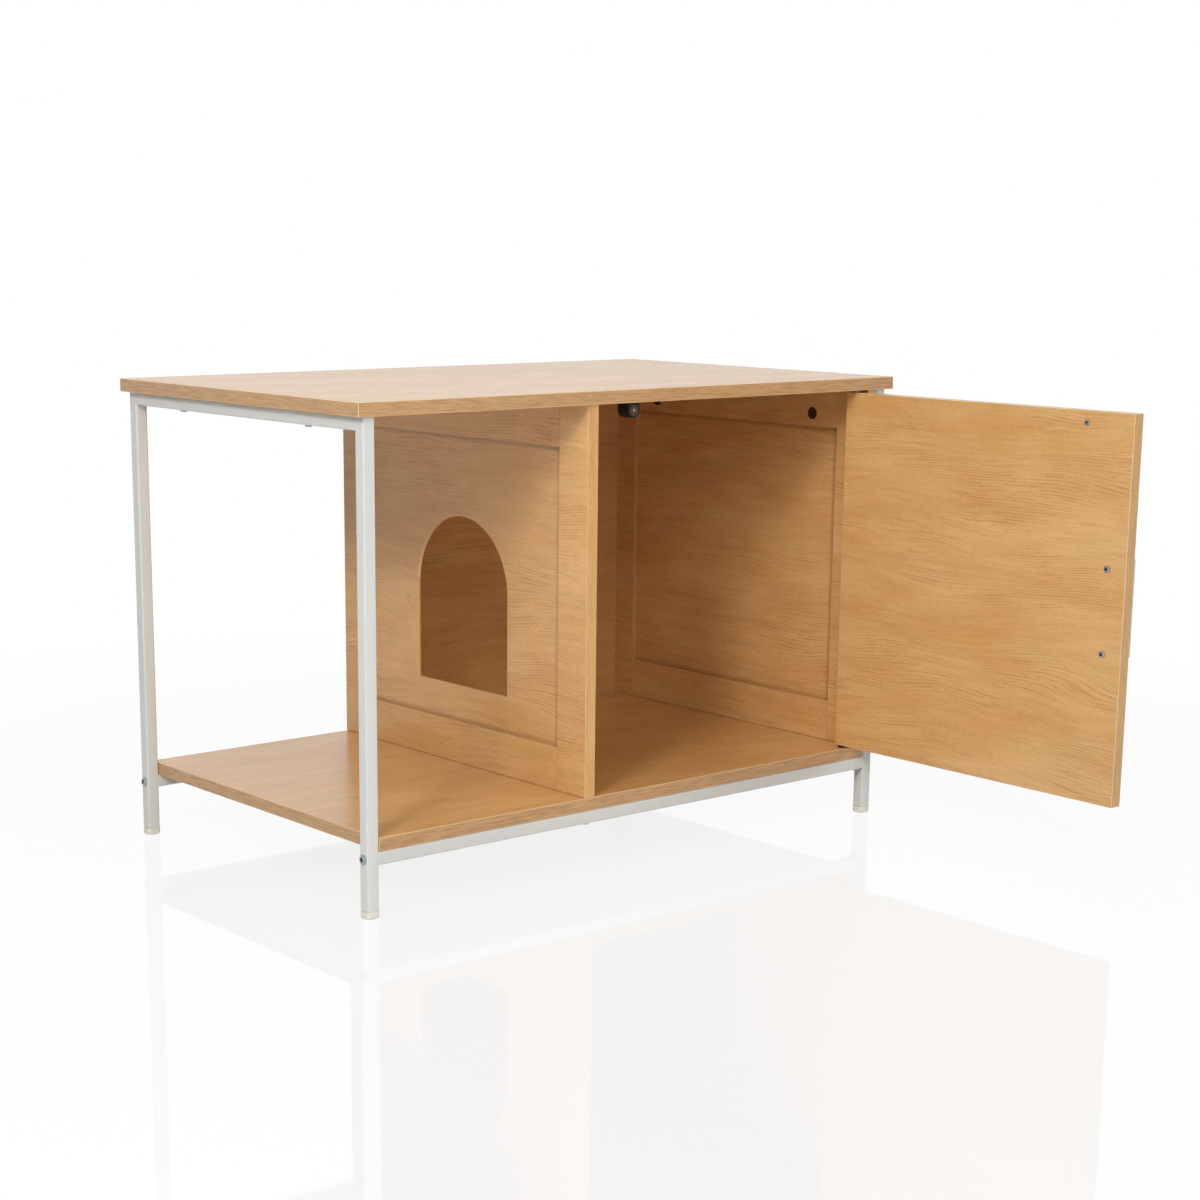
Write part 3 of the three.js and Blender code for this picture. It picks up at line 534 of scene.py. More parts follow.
def prism(points, axis, start, end):
    """A working body: an outline across an axis, pulled from one value to another."""
    mesh = bpy.data.meshes.new("prism")
    body = bmesh.new()
    other = [index for index in range(3) if index != axis]
    rings = []
    for value in (start, end):
        ring = []
        for point in points:
            place = [0, 0, 0]
            place[axis] = value
            place[other[0]], place[other[1]] = point
            ring.append(body.verts.new(place))
        rings.append(ring)
    count = len(points)
    for index in range(count):
        after = (index + 1) % count
        body.faces.new((rings[0][index], rings[0][after], rings[1][after], rings[1][index]))
    body.faces.new(rings[0])
    body.faces.new(rings[1])
    bmesh.ops.recalc_face_normals(body, faces=body.faces)
    body.to_mesh(mesh)
    body.free()
    return work_on(mesh)


def circle(centre, radius, segments):
    """Points on a circle, as an outline."""
    angles = [math.tau * index / segments for index in range(segments)]
    return [
        (centre[0] + radius * math.cos(a), centre[1] + radius * math.sin(a)) for a in angles
    ]


def cam_cutters(panel):
    """The bores that the cam locks sit in."""
    cutters = []
    for end in ("front", "rear"):
        low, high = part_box(panel + "_" + end + "_cam_lock")
        centre = ((low[Y] + high[Y]) / 2, (low[Z] + high[Z]) / 2)
        radius = (high[Z] - low[Z]) / 2 + CAM_CLEARANCE
        outline = circle(centre, radius, CAM_SEGMENTS)
        span = (high[X] + MM, low[X]) if panel == "divider" else (low[X] - MM, high[X])
        cutters.append(prism(outline, X, *span))
    return cutters


def arch_cutter(low, high, width, sill, height):
    """The doorway's outline through the panel, with its half-round head."""
    radius = width / 2
    middle = (low[Y] + high[Y]) / 2
    spring = sill + height - radius
    head = [math.pi * index / ARCH_SEGMENTS for index in range(ARCH_SEGMENTS + 1)]
    outline = [(middle - radius, sill), (middle + radius, sill)]
    outline += [
        (middle + radius * math.cos(angle), spring + radius * math.sin(angle)) for angle in head
    ]
    return prism(outline, X, low[X] - MM, high[X] + MM)


# %% Framed panels
ARCH_WIDTH = 176 * MM
ARCH_HEIGHT = 206 * MM
SILL_ABOVE_FLOOR = 94 * MM
SEAM = 0.3 * MM

number = len(WHOLE_BOARDS)
for panel in ("divider", "side"):
    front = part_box(panel + "_front_stile")
    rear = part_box(panel + "_rear_stile")
    for name in ("front_stile", "rear_stile", "top_rail", "bottom_rail", "panel"):
        low, high = [list(corner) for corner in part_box(panel + "_" + name)]
        cutters = []
        if name.endswith("rail"):
            low[Y] = front[1][Y] + SEAM
            high[Y] = rear[0][Y] - SEAM
        if name == "top_rail":
            cutters = cam_cutters(panel)
        if name == "panel" and panel == "divider":
            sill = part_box("bottom_board")[1][Z] + SILL_ABOVE_FLOOR
            cutters = [arch_cutter(low, high, ARCH_WIDTH, sill, ARCH_HEIGHT)]
        behind = math.inf if name == "panel" else front[0][Y] + MM
        piece = panel + "_" + name
        board(piece, (low, high), Y, number, cutters, JOINT_ROUND, seams_behind=behind)
        number += 1
    # The panel's faces tell how near the frame is, for the painted shade along it: 0 in the
    # middle,
    # 1 or -1 at the border.
    mesh = scene.objects["decor_" + panel + "_panel"].data
    near = (front[1][Y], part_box(panel + "_bottom_rail")[1][Z])
    far = (rear[0][Y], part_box(panel + "_top_rail")[0][Z])
    sunk = mesh.attributes.new("sunk", "FLOAT_VECTOR", "CORNER")
    for loop in mesh.loops:
        place = mesh.vertices[loop.vertex_index].co
        spread = [
            (2 * place[axis] - start - end) / (end - start)
            for axis, start, end in zip((Y, Z), near, far)
        ]
        sunk.data[loop.index].vector = (*spread, 0)

# %% [markdown]
# ## Square tube
# The steel frame is cold-formed square tube: flat faces and drawn corners of about 2 mm. A
# corner needs enough facets to shine smoothly, and the flats need none. Each tube is a real
# tube with a wall, because its ends are open under the powder coat.

# %% Tube helper
TUBE_CORNER = 2 * MM
TUBE_WALL = 1.2 * MM
CORNER_STEPS = 6
TUBE_CREASE = math.radians(50)  # a sharper edge than this stays an edge in the shading


def rounded_square(half, corner):
    """Points round a square with rounded corners."""
    points = []
    for quarter in range(4):
        turn = quarter * math.pi / 2
        for step in range(CORNER_STEPS + 1):
            angle = step / CORNER_STEPS * math.pi / 2
            a = half - corner + corner * math.cos(angle)
            b = half - corner + corner * math.sin(angle)
            points.append(
                (a * math.cos(turn) - b * math.sin(turn), a * math.sin(turn) + b * math.cos(turn))
            )
    return points


def add_tube(body, low, high, axis):
    """Adds a square tube that fills a box along one axis."""
    other = [index for index in range(3) if index != axis]
    half = (high[other[0]] - low[other[0]]) / 2
    middle = [(high[index] + low[index]) / 2 for index in range(3)]
    inner = max(TUBE_CORNER - TUBE_WALL, TUBE_WALL / 4)
    rings = []
    for outline in (
        rounded_square(half, TUBE_CORNER),
        rounded_square(half - TUBE_WALL, inner),
    ):
        for value in (low[axis], high[axis]):
            ring = []
            for a, b in outline:
                place = list(middle)
                place[axis] = value
                place[other[0]] += a
                place[other[1]] += b
                ring.append(body.verts.new(place))
            rings.append(ring)
    outer_start, outer_end, inner_start, inner_end = rings
    faces = []
    for first, second in (
        (outer_start, outer_end),
        (outer_end, inner_end),
        (inner_end, inner_start),
        (inner_start, outer_start),
    ):
        for index in range(len(first)):
            after = (index + 1) % len(first)
            faces.append(
                body.faces.new((first[index], first[after], second[after], second[index]))
            )
    bmesh.ops.recalc_face_normals(body, faces=faces)


def tubes_mesh(boxes):
    """One mesh of several square tubes, with flat faces kept flat in the shading."""
    mesh = bpy.data.meshes.new("tubes")
    body = bmesh.new()
    for low, high in boxes:
        size = [high[index] - low[index] for index in range(3)]
        add_tube(body, low, high, size.index(max(size)))
    body.to_mesh(mesh)
    body.free()
    carrier = work_on(mesh)
    carrier.modifiers.new("flat faces", "WEIGHTED_NORMAL")
    mesh.shade_smooth()
    mesh.set_sharp_from_angle(angle=TUBE_CREASE)
    return settled(carrier)


# %% [markdown]
# ## Trees of Geometry Nodes
# What repeats is made by small Geometry Nodes trees: the weld beads, the fasteners and the
# feet. A tree is a recipe with named inputs, which a modifier runs on a carrier mesh. It could
# be drawn by hand in the node editor, but here the script builds it, so that every size stays
# a named value. Three helpers hold what all the trees share.

# %% Helpers for Geometry Nodes trees
def new_tree(name, sockets, result):
    """A Geometry Nodes tree with named inputs: the tree, its sockets and its inside inputs."""
    tree = bpy.data.node_groups.new(name, "GeometryNodeTree")
    tree.is_modifier = True
    socket = {
        label: tree.interface.new_socket(label, in_out="INPUT", socket_type="NodeSocket" + kind)
        for label, kind in sockets.items()
    }
    tree.interface.new_socket(result, in_out="OUTPUT", socket_type="NodeSocketGeometry")
    return tree, socket, add(tree, "NodeGroupInput").outputs


def end_tree(tree, geometry, coating, result):
    """Makes a tree's copies real, gives them their material and sends them out."""
    real = add(tree, "GeometryNodeRealizeInstances", {"Geometry": geometry}).outputs[0]
    coated = {"Geometry": real, "Material": coating}
    coated = add(tree, "GeometryNodeSetMaterial", coated).outputs[0]
    add(tree, "NodeGroupOutput", {result: coated})
    print(tree.name, "tree:", len(tree.nodes), "nodes")


def grown(mesh, tree, socket, values):
    """What a tree makes of a mesh. Each input is set by its socket's identifier."""
    carrier = work_on(mesh)
    modifier = carrier.modifiers.new(tree.name, "NODES")
    modifier.node_group = tree
    for label, value in values.items():
        modifier[socket[label].identifier] = value
    return settled(carrier)


# %% [markdown]
# ## End frames and lower rails
# Each end of the cabinet is one welded frame: two legs and a top rail. The rail is butted
# between the legs, welded underneath and inside, and coated over, so no gap shows outside. The
# CAD model keeps a hair's gap there, and the visible rail closes it. The beads are a profile
# run along the joint by a small Geometry Nodes tree, because they repeat at each joint.

# %% Weld bead tree
BEAD_RADIUS = 0.7 * MM
BEAD_POINTS = 36  # along one joint
BEAD_SIDES = 10
BEAD_WOBBLE = 900  # how many lumps there are to a metre
BEAD_UNEVEN = 0.25  # how much thicker or thinner a lump is

beads, bead_socket, enter = new_tree(
    "weld bead", {"Joint": "Geometry", "Bead radius": "Float", "Finish": "Material"}, "Bead"
)
path = add(beads, "GeometryNodeMeshToCurve", {"Mesh": enter["Joint"]}).outputs["Curve"]
even = {"Curve": path, "Count": BEAD_POINTS}
even = add(beads, "GeometryNodeResampleCurve", even).outputs["Curve"]
wobble = add(beads, "ShaderNodeTexNoise", {"Scale": BEAD_WOBBLE, "Detail": 1}).outputs["Fac"]
lump = {"Value": wobble, "To Min": 1 - BEAD_UNEVEN, "To Max": 1 + BEAD_UNEVEN}
lump = add(beads, "ShaderNodeMapRange", lump).outputs[0]
uneven = add(beads, "GeometryNodeSetCurveRadius", {"Curve": even, "Radius": lump})
section = {"Resolution": BEAD_SIDES, "Radius": enter["Bead radius"]}
section = add(beads, "GeometryNodeCurvePrimitiveCircle", section)
swept = add(
    beads,
    "GeometryNodeCurveToMesh",
    {
        "Curve": uneven.outputs["Curve"],
        "Profile Curve": section.outputs["Curve"],
        "Scale": lump,
        "Fill Caps": True,
    },
)
end_tree(beads, swept.outputs["Mesh"], enter["Finish"], "Bead")


# %% Frames
BUTT_OVERLAP = 1.2 * MM  # a lower rail is pulled tight against the leg's rounded corners


def bead_mesh(frame_boxes, inward):
    """The beads at both ends of a top rail: along its underside and up its inner face."""
    leg_boxes, (low, high) = frame_boxes[:2], frame_boxes[2]
    face = high[X] if inward > 0 else low[X]
    outside = low[X] if inward > 0 else high[X]
    joint = bmesh.new()
    for value in (leg_boxes[0][1][Y], leg_boxes[1][0][Y]):
        points = [
            (outside + inward * TUBE_CORNER, value, low[Z]),
            (face - inward * TUBE_CORNER, value, low[Z]),
            (face, value, low[Z] + TUBE_CORNER),
            (face, value, high[Z] - TUBE_CORNER),
        ]
        corners = [joint.verts.new(point) for point in points]
        for first, second in zip(corners, corners[1:]):
            joint.edges.new((first, second))
    mesh = bpy.data.meshes.new("joint")
    joint.to_mesh(mesh)
    joint.free()
    sizes = {"Bead radius": BEAD_RADIUS, "Finish": finish["white_powder_coat"]}
    return grown(mesh, beads, bead_socket, sizes)


def joined(*meshes):
    """Several meshes as one."""
    body = bmesh.new()
    for mesh in meshes:
        body.from_mesh(mesh)
    whole = bpy.data.meshes.new("joined")
    body.to_mesh(whole)
    body.free()
    return whole


for side, inward in (("left", 1), ("right", -1)):
    nodes = [side + "_front_leg", side + "_rear_leg", side + "_top_rail"]
    boxes = [[list(corner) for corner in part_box(node)] for node in nodes]
    boxes[2][0][Y] = boxes[0][1][Y] - TUBE_CORNER
    boxes[2][1][Y] = boxes[1][0][Y] + TUBE_CORNER
    tubes = tubes_mesh(boxes)
    weld = bead_mesh(boxes, inward)
    weld.shade_smooth()
    whole = joined(tubes, weld)
    whole.set_sharp_from_angle(angle=TUBE_CREASE)
    make_piece(side + "_end_frame", whole, *nodes)

for node in ("front_lower_rail", "rear_lower_rail"):
    low, high = [list(corner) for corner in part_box(node)]
    low[X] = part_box("left_front_leg")[1][X] - BUTT_OVERLAP
    high[X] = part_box("right_front_leg")[0][X] + BUTT_OVERLAP
    make_piece(node + "_tube", tubes_mesh([(low, high)]), node)

# %% [markdown]
# ## Screws and bolts
# Every fastener has the same head seen from outside: a low pan head with a cross recess. One
# Geometry Nodes tree makes it from its sizes and sets a copy on each point of a carrier mesh,
# turned to face the way that the point's attribute says. Each head is also turned about its
# own axis by a fixed random angle, because no two screws stop at the same place.

# %% Fastener tree
HEAD_SEGMENTS, HEAD_RINGS = 40, 24
SHANK_SEGMENTS = 24

fasteners, size_socket, enter = new_tree(
    "fastener",
    {
        "Places": "Geometry",
        "Head radius": "Float",
        "Head height": "Float",
        "Shank radius": "Float",
        "Shank length": "Float",
        "Recess width": "Float",
        "Recess reach": "Float",
        "Recess depth": "Float",
        "Seed": "Int",
        "Finish": "Material",
    },
    "Fasteners",
)


# Sizes that are a fastener's size times a number. The slab that cuts off the head's lower half
# is a cube, wider than the head.
multiple = {}
for name, size, factor in (
    ("slab", "Head radius", 4),
    ("slab drop", "Head radius", -2),
    ("slot length", "Recess reach", 2),
    ("slot depth", "Recess depth", 2),
    ("shank drop", "Shank length", -0.5),
):
    product = {0: enter[size], 1: factor}
    multiple[name] = add(fasteners, "ShaderNodeMath", product, operation="MULTIPLY").outputs[0]
radius, height, width = enter["Head radius"], enter["Head height"], enter["Recess width"]
slab, length, depth = multiple["slab"], multiple["slot length"], multiple["slot depth"]
vector = {}
for name, x, y, z in (
    ("head size", radius, radius, height),
    ("slab size", slab, slab, slab),
    ("slab place", 0, 0, multiple["slab drop"]),
    ("long slot", length, width, depth),
    ("wide slot", width, length, depth),
    ("slot place", 0, 0, height),
    ("shank place", 0, 0, multiple["shank drop"]),
):
    vector[name] = add(fasteners, "ShaderNodeCombineXYZ", {"X": x, "Y": y, "Z": z}).outputs[0]

# %% Fastener tree: the head
# The head is the upper half of a ball, squared off: each height z becomes z * (2 - z).
ball = {"Segments": HEAD_SEGMENTS, "Rings": HEAD_RINGS, "Radius": 1}
ball = add(fasteners, "GeometryNodeMeshUVSphere", ball).outputs["Mesh"]
spot = {"Vector": add(fasteners, "GeometryNodeInputPosition").outputs[0]}
spot = add(fasteners, "ShaderNodeSeparateXYZ", spot).outputs
lack = add(fasteners, "ShaderNodeMath", {0: 2, 1: spot["Z"]}, operation="SUBTRACT").outputs[0]
raised = {0: spot["Z"], 1: lack}
raised = add(fasteners, "ShaderNodeMath", raised, operation="MULTIPLY").outputs[0]
squared = {"X": spot["X"], "Y": spot["Y"], "Z": raised}
squared = add(fasteners, "ShaderNodeCombineXYZ", squared).outputs[0]
pan = {"Geometry": ball, "Position": squared}
pan = add(fasteners, "GeometryNodeSetPosition", pan).outputs["Geometry"]
head = {"Geometry": pan, "Scale": vector["head size"]}
head = add(fasteners, "GeometryNodeTransform", head).outputs["Geometry"]
for size, place, recess in (
    # the slab, and then the two slots of the recess, whose walls are marked for painted shade
    ("slab size", "slab place", 0.0),
    ("long slot", "slot place", 1.0),
    ("wide slot", "slot place", 1.0),
):
    cutter = add(fasteners, "GeometryNodeMeshCube", {"Size": vector[size]}).outputs["Mesh"]
    cutter = {"Geometry": cutter, "Translation": vector[place]}
    cutter = add(fasteners, "GeometryNodeTransform", cutter).outputs["Geometry"]
    cutter = {"Geometry": cutter, "Name": "recess", "Value": recess}
    cutter = add(
        fasteners, "GeometryNodeStoreNamedAttribute", cutter, data_type="FLOAT", domain="CORNER"
    )
    head = {"Mesh 1": head, "Mesh 2": cutter.outputs["Geometry"]}
    head = add(fasteners, "GeometryNodeMeshBoolean", head, operation="DIFFERENCE", solver="EXACT")
    head = head.outputs["Mesh"]

# %% Fastener tree: shank and copies
shank = {
    "Vertices": SHANK_SEGMENTS,
    "Radius": enter["Shank radius"],
    "Depth": enter["Shank length"],
}
shank = add(fasteners, "GeometryNodeMeshCylinder", shank).outputs["Mesh"]
shank = {"Geometry": shank, "Translation": vector["shank place"]}
shank = add(fasteners, "GeometryNodeTransform", shank).outputs["Geometry"]
whole = add(fasteners, "GeometryNodeJoinGeometry", {"Geometry": head})
fasteners.links.new(shank, whole.inputs["Geometry"])
facing = add(
    fasteners, "GeometryNodeInputNamedAttribute", {"Name": "facing"}, data_type="FLOAT_VECTOR"
)
aimed = {"Vector": facing.outputs["Attribute"]}
aimed = add(fasteners, "FunctionNodeAlignRotationToVector", aimed, axis="Z")
copies = add(
    fasteners,
    "GeometryNodeInstanceOnPoints",
    {
        "Points": enter["Places"],
        "Instance": whole.outputs["Geometry"],
        "Rotation": aimed.outputs["Rotation"],
    },
)
angle = {2: 0.0, 3: math.pi / 2, "Seed": enter["Seed"]}
angle = add(fasteners, "FunctionNodeRandomValue", angle, data_type="FLOAT").outputs[1]
spin = add(fasteners, "ShaderNodeCombineXYZ", {"Z": angle}).outputs[0]
turned = {"Instances": copies.outputs["Instances"], "Rotation": spin, "Local Space": True}
turned = add(fasteners, "GeometryNodeRotateInstances", turned)
end_tree(fasteners, turned.outputs["Instances"], enter["Finish"], "Fasteners")

# %% [markdown]
# ## Setting the fasteners
# Where a fastener sits, and how long it is, come from its CAD node: the head is at one end of
# the node's box, and the head's diameter is the box's width. Only the way it faces, the head's
# height and the recess are given here, as they aren't to be read from a box.

# %% Fasteners
RECESS_SHARE = 0.6  # of the head's radius, to each side
RECESS_DEPTH_SHARE = 0.75  # of the head's height
SHANK_SHARE = 0.5  # of the head's radius
HEAD_CREASE = math.radians(35)


def set_fasteners(name, nodes, facing, head_height, recess_width, seed):
    """Sets one kind of fastener at its CAD nodes, which all face one way or its mirror."""
    axis = max(range(3), key=lambda index: abs(facing[0][index]))
    places = []
    for node, way in zip(nodes, facing):
        low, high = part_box(node)
        place = [(low[index] + high[index]) / 2 for index in range(3)]
        outer = high[axis] if way[axis] > 0 else low[axis]
        place[axis] = outer - way[axis] * head_height
        places.append(place)
    mesh = bpy.data.meshes.new("places")
    mesh.from_pydata(places, [], [])
    ways = mesh.attributes.new("facing", "FLOAT_VECTOR", "POINT")
    for index, way in enumerate(facing):
        ways.data[index].vector = way
    low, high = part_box(nodes[0])
    radius = min(high[index] - low[index] for index in range(3) if index != axis) / 2
    sizes = {
        "Head radius": radius,
        "Head height": head_height,
        "Shank radius": radius * SHANK_SHARE,
        "Shank length": high[axis] - low[axis] - head_height,
        "Recess width": recess_width,
        "Recess reach": radius * RECESS_SHARE,
        "Recess depth": head_height * RECESS_DEPTH_SHARE,
        "Seed": seed,
        "Finish": finish[slot_of[nodes[0]]],
    }
    mesh = grown(mesh, fasteners, size_socket, sizes)
    mesh.shade_smooth()
    mesh.set_sharp_from_angle(angle=HEAD_CREASE)
    return make_piece(name, mesh, *nodes)


LEFT, RIGHT = Vector((-1, 0, 0)), Vector((1, 0, 0))
DOWN = Vector((0, 0, -1))
corners = [side + "_" + end for side in ("left", "right") for end in ("front", "rear")]
ends = [panel + "_" + end for panel in ("divider", "side") for end in ("front", "rear")]
FASTENERS = {
    # piece: (nodes, the ways that they face, head height and recess width in mm, seed)
    "rail_bolts": ([at + "_rail_bolt" for at in corners], [LEFT] * 2 + [RIGHT] * 2, 3, 1.7, 3),
    "top_rail_screws": ([at + "_top_screw" for at in corners], [DOWN] * 4, 2.5, 1.1, 5),
    "panel_screws": ([at + "_screw" for at in ends], [DOWN] * 4, 2.4, 1.1, 8),
    "handle_screws": (["handle_upper_screw", "handle_lower_screw"], [LEFT] * 2, 2.4, 1.3, 2),
    "strike_screw": (["catch_strike_screw"], [LEFT], 1.8, 0.9, 1),
    "catch_fixing_screw": (["catch_screw"], [DOWN], 1.8, 0.9, 4),
}
for name, (nodes, facing, height, width, seed) in FASTENERS.items():
    set_fasteners(name, nodes, facing, height * MM, width * MM, seed)

# %% [markdown]
# ## Foot caps
# A foot is a square plastic cap pushed into the leg, with soft corners and a rounded sole. Its
# side is a stack of rounded squares of different sizes. Four of them stand on the corners of a
# rectangle, so a second small tree sets them out.

# %% Foot caps
FOOT_CORNER = 5.4 * MM
FOOT_ROUND = 1.8 * MM
FOOT_STEPS = 5  # round the sole's edge
FOOT_CHAMFER = 0.5 * MM
FOOT_CREASE = math.radians(45)


def lofted(sections):
    """A closed body through rounded squares: (half width, corner, height) from the bottom up."""
    body = bmesh.new()
    rings = []
    for half, corner, height in sections:
        outline = rounded_square(half, corner)
        rings.append([body.verts.new((a, b, height)) for a, b in outline])
    for lower, upper in zip(rings, rings[1:]):
        for index in range(len(lower)):
            after = (index + 1) % len(lower)
            body.faces.new((lower[index], lower[after], upper[after], upper[index]))
    body.faces.new(reversed(rings[0]))
    body.faces.new(rings[-1])
    mesh = bpy.data.meshes.new("lofted")
    body.to_mesh(mesh)
    body.free()
    return mesh


foot_low, foot_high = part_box("left_front_foot")
leg_low, leg_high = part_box("left_front_leg")
foot_half = (foot_high[X] - foot_low[X]) / 2
sections = []
for step in range(FOOT_STEPS + 1):
    angle = step / FOOT_STEPS * math.pi / 2
    inset = FOOT_ROUND * (1 - math.sin(angle))
    height = FOOT_ROUND * (1 - math.cos(angle))
    sections.append((foot_half - inset, FOOT_CORNER - inset / 2, height))
cap_top = leg_low[Z] - SEAM
plug_half = (leg_high[X] - leg_low[X]) / 2 - TUBE_WALL - SEAM
sections += [
    (foot_half, FOOT_CORNER, cap_top - FOOT_CHAMFER),
    (foot_half - FOOT_CHAMFER, FOOT_CORNER - FOOT_CHAMFER, cap_top),
    (plug_half, MM, cap_top),
    (plug_half, MM, foot_high[Z]),
]
foot = work_on(lofted(sections))

rectangle, corner_socket, enter = new_tree(
    "on four corners",
    {
        "Carrier": "Geometry",
        "Foot": "Object",
        "Span X": "Float",
        "Span Y": "Float",
        "Centre Y": "Float",
        "Finish": "Material",
    },
    "Feet",
)
grid = {"Vertices X": 2, "Vertices Y": 2, "Size X": enter["Span X"], "Size Y": enter["Span Y"]}
grid = add(rectangle, "GeometryNodeMeshGrid", grid).outputs["Mesh"]
centre = add(rectangle, "ShaderNodeCombineXYZ", {"Y": enter["Centre Y"]}).outputs[0]
grid = add(rectangle, "GeometryNodeTransform", {"Geometry": grid, "Translation": centre})
shape = add(rectangle, "GeometryNodeObjectInfo", {"Object": enter["Foot"]}).outputs["Geometry"]
copies = {"Points": grid.outputs["Geometry"], "Instance": shape}
copies = add(rectangle, "GeometryNodeInstanceOnPoints", copies)
end_tree(rectangle, copies.outputs["Instances"], enter["Finish"], "Feet")

feet = [at + "_foot" for at in corners]
middles = [(Vector(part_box(node)[0]) + Vector(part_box(node)[1])) / 2 for node in feet]
sizes = {
    "Foot": foot,
    "Span X": middles[2][X] - middles[0][X],
    "Span Y": middles[1][Y] - middles[0][Y],
    "Centre Y": (middles[1][Y] + middles[0][Y]) / 2,
    "Finish": finish["ivory_plastic"],
}
mesh = grown(bpy.data.meshes.new("feet"), rectangle, corner_socket, sizes)
take_away([foot])
mesh.shade_smooth()
mesh.set_sharp_from_angle(angle=FOOT_CREASE)
make_piece("foot_caps", mesh, *feet)

# %% [markdown]
# ## Cam locks
# A cam lock is a die-cast disc that grips a dowel. Only its flat face with a wide cross slot
# is seen, flush with the board, in a bore a little larger than itself. It is modelled as a
# short drum with a small rounded rim and the slot cut in.

# %% Cam locks
CAM_SLOT = 1.6 * MM
CAM_SLOT_DEPTH = 2 * MM
CAM_RIM = 0.4 * MM


def cam_mesh(node, outward):
    """A drum that fills the cam's CAD box, with a cross slot in the face that looks outward."""
    low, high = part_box(node)
    y, z = (low[Y] + high[Y]) / 2, (low[Z] + high[Z]) / 2
    radius = (high[Z] - low[Z]) / 2
    drum = prism(circle((y, z), radius, CAM_SEGMENTS), X, low[X], high[X])
    face = high[X] if outward > 0 else low[X]
    reach = outward * CAM_SLOT_DEPTH
    slots = []
    arm, narrow = radius * RECESS_SHARE, CAM_SLOT / 2
    for a, b in ((arm, narrow), (narrow, arm)):
        outline = [(y - a, z - b), (y + a, z - b), (y + a, z + b), (y - a, z + b)]
        slots.append(prism(outline, X, face - reach, face + reach))
    cut_out(drum, *slots)
    soften(drum, CAM_RIM, 2)
    mesh = settled(drum)
    take_away(slots)
    return mesh


for panel, outward in (("divider", 1), ("side", -1)):
    nodes = [panel + "_" + end + "_cam_lock" for end in ("front", "rear")]
    cams = joined(*[cam_mesh(node, outward) for node in nodes])
    make_piece(panel + "_cam_drums", cams, *nodes)

# %% [markdown]
# ## Handle
# The handle is a plain bar on two posts, screwed on from inside the door. It is a casting, so
# the bar's edges are well rounded and the posts run into it. The two overlap inside the metal,
# which the coating hides.

# %% Handle
HANDLE_ROUND = 1.6 * MM
POST_RADIUS = 4.5 * MM
POST_ROUND = 0.5 * MM
BAR_THICKNESS = 8 * MM


def handle_mesh():
    """The bar and its two posts."""
    low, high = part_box("door_handle")
    bar = work_on(block_mesh((high[X] - BAR_THICKNESS, low[Y], low[Z]), high))
    soften(bar, HANDLE_ROUND, 4)
    shapes = [settled(bar)]
    for screw in ("handle_upper_screw", "handle_lower_screw"):
        screw_low, screw_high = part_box(screw)
        centre = [(screw_low[axis] + screw_high[axis]) / 2 for axis in (Y, Z)]
        outline = circle(centre, POST_RADIUS, CAM_SEGMENTS)
        post = prism(outline, X, low[X], high[X] - BAR_THICKNESS / 2)
        soften(post, POST_ROUND)
        shapes.append(settled(post))
    return joined(*shapes)


make_piece("bar_handle", handle_mesh(), "door_handle")

# %% [markdown]
# ## Magnetic catch
# Under the top board, just behind the shut door, sits a moulded housing with a round belly. A
# ring magnet looks out of its front, with a bright steel pole in the middle. The housing is
# its outline pulled back, bored for the magnet and then rounded, with a screw tab behind it
# and a slanting rib on each flank.

# %% Catch housing
RIB_THICKNESS = 0.5 * MM
RIB_INSET = 4 * MM  # from the housing's two ends, and below the middle of its belly
TAB_THICKNESS = 2.5 * MM
TAB_LENGTH = 12 * MM
HOUSING_ROUND = 0.5 * MM

low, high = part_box("catch_housing")
magnet_low, magnet_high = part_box("catch_magnet")
belly = (high[X] - low[X]) / 2
middle_x = (low[X] + high[X]) / 2
belly_z = low[Z] + belly
left, right = low[X] + RIB_THICKNESS, high[X] - RIB_THICKNESS
outline = [(left, high[Z]), (left, belly_z)]
for step in range(1, CAM_SEGMENTS // 2):
    angle = math.pi + math.tau * step / CAM_SEGMENTS
    radius = belly - RIB_THICKNESS * abs(math.cos(angle))
    outline.append((middle_x + radius * math.cos(angle), belly_z + belly * math.sin(angle)))
outline += [(right, belly_z), (right, high[Z])]
housing = prism(outline, Y, low[Y], high[Y] - TAB_LENGTH)
centre = (middle_x, (magnet_low[Z] + magnet_high[Z]) / 2)
bore = circle(centre, (magnet_high[X] - magnet_low[X]) / 2 + SEAM, CAM_SEGMENTS)
pocket = prism(bore, Y, magnet_low[Y] - MM, magnet_high[Y] + SEAM)
cut_out(housing, pocket)
soften(housing, HOUSING_ROUND)
shapes = [settled(housing)]
take_away([pocket])

tab = work_on(block_mesh((low[X], high[Y] - TAB_LENGTH - MM, high[Z] - TAB_THICKNESS), high))
soften(tab, HOUSING_ROUND)
shapes.append(settled(tab))
rib_front, rib_back = low[Y] + RIB_INSET, high[Y] - TAB_LENGTH - RIB_INSET
slant = [
    (rib_front, belly_z - RIB_INSET),
    (rib_front + MM, belly_z - RIB_INSET),
    (rib_back, high[Z] - MM),
    (rib_back - MM, high[Z] - MM),
]
for flank in (low[X], high[X] - 2 * RIB_THICKNESS):
    rib = prism(slant, X, flank, flank + 2 * RIB_THICKNESS)
    soften(rib, RIB_THICKNESS / 4, 2)
    shapes.append(settled(rib))
make_piece("catch_body", joined(*shapes), "catch_housing")


# %% Catch magnet and pole
MAGNET_ROUND = 0.4 * MM
POLE_ROUND = 0.5 * MM


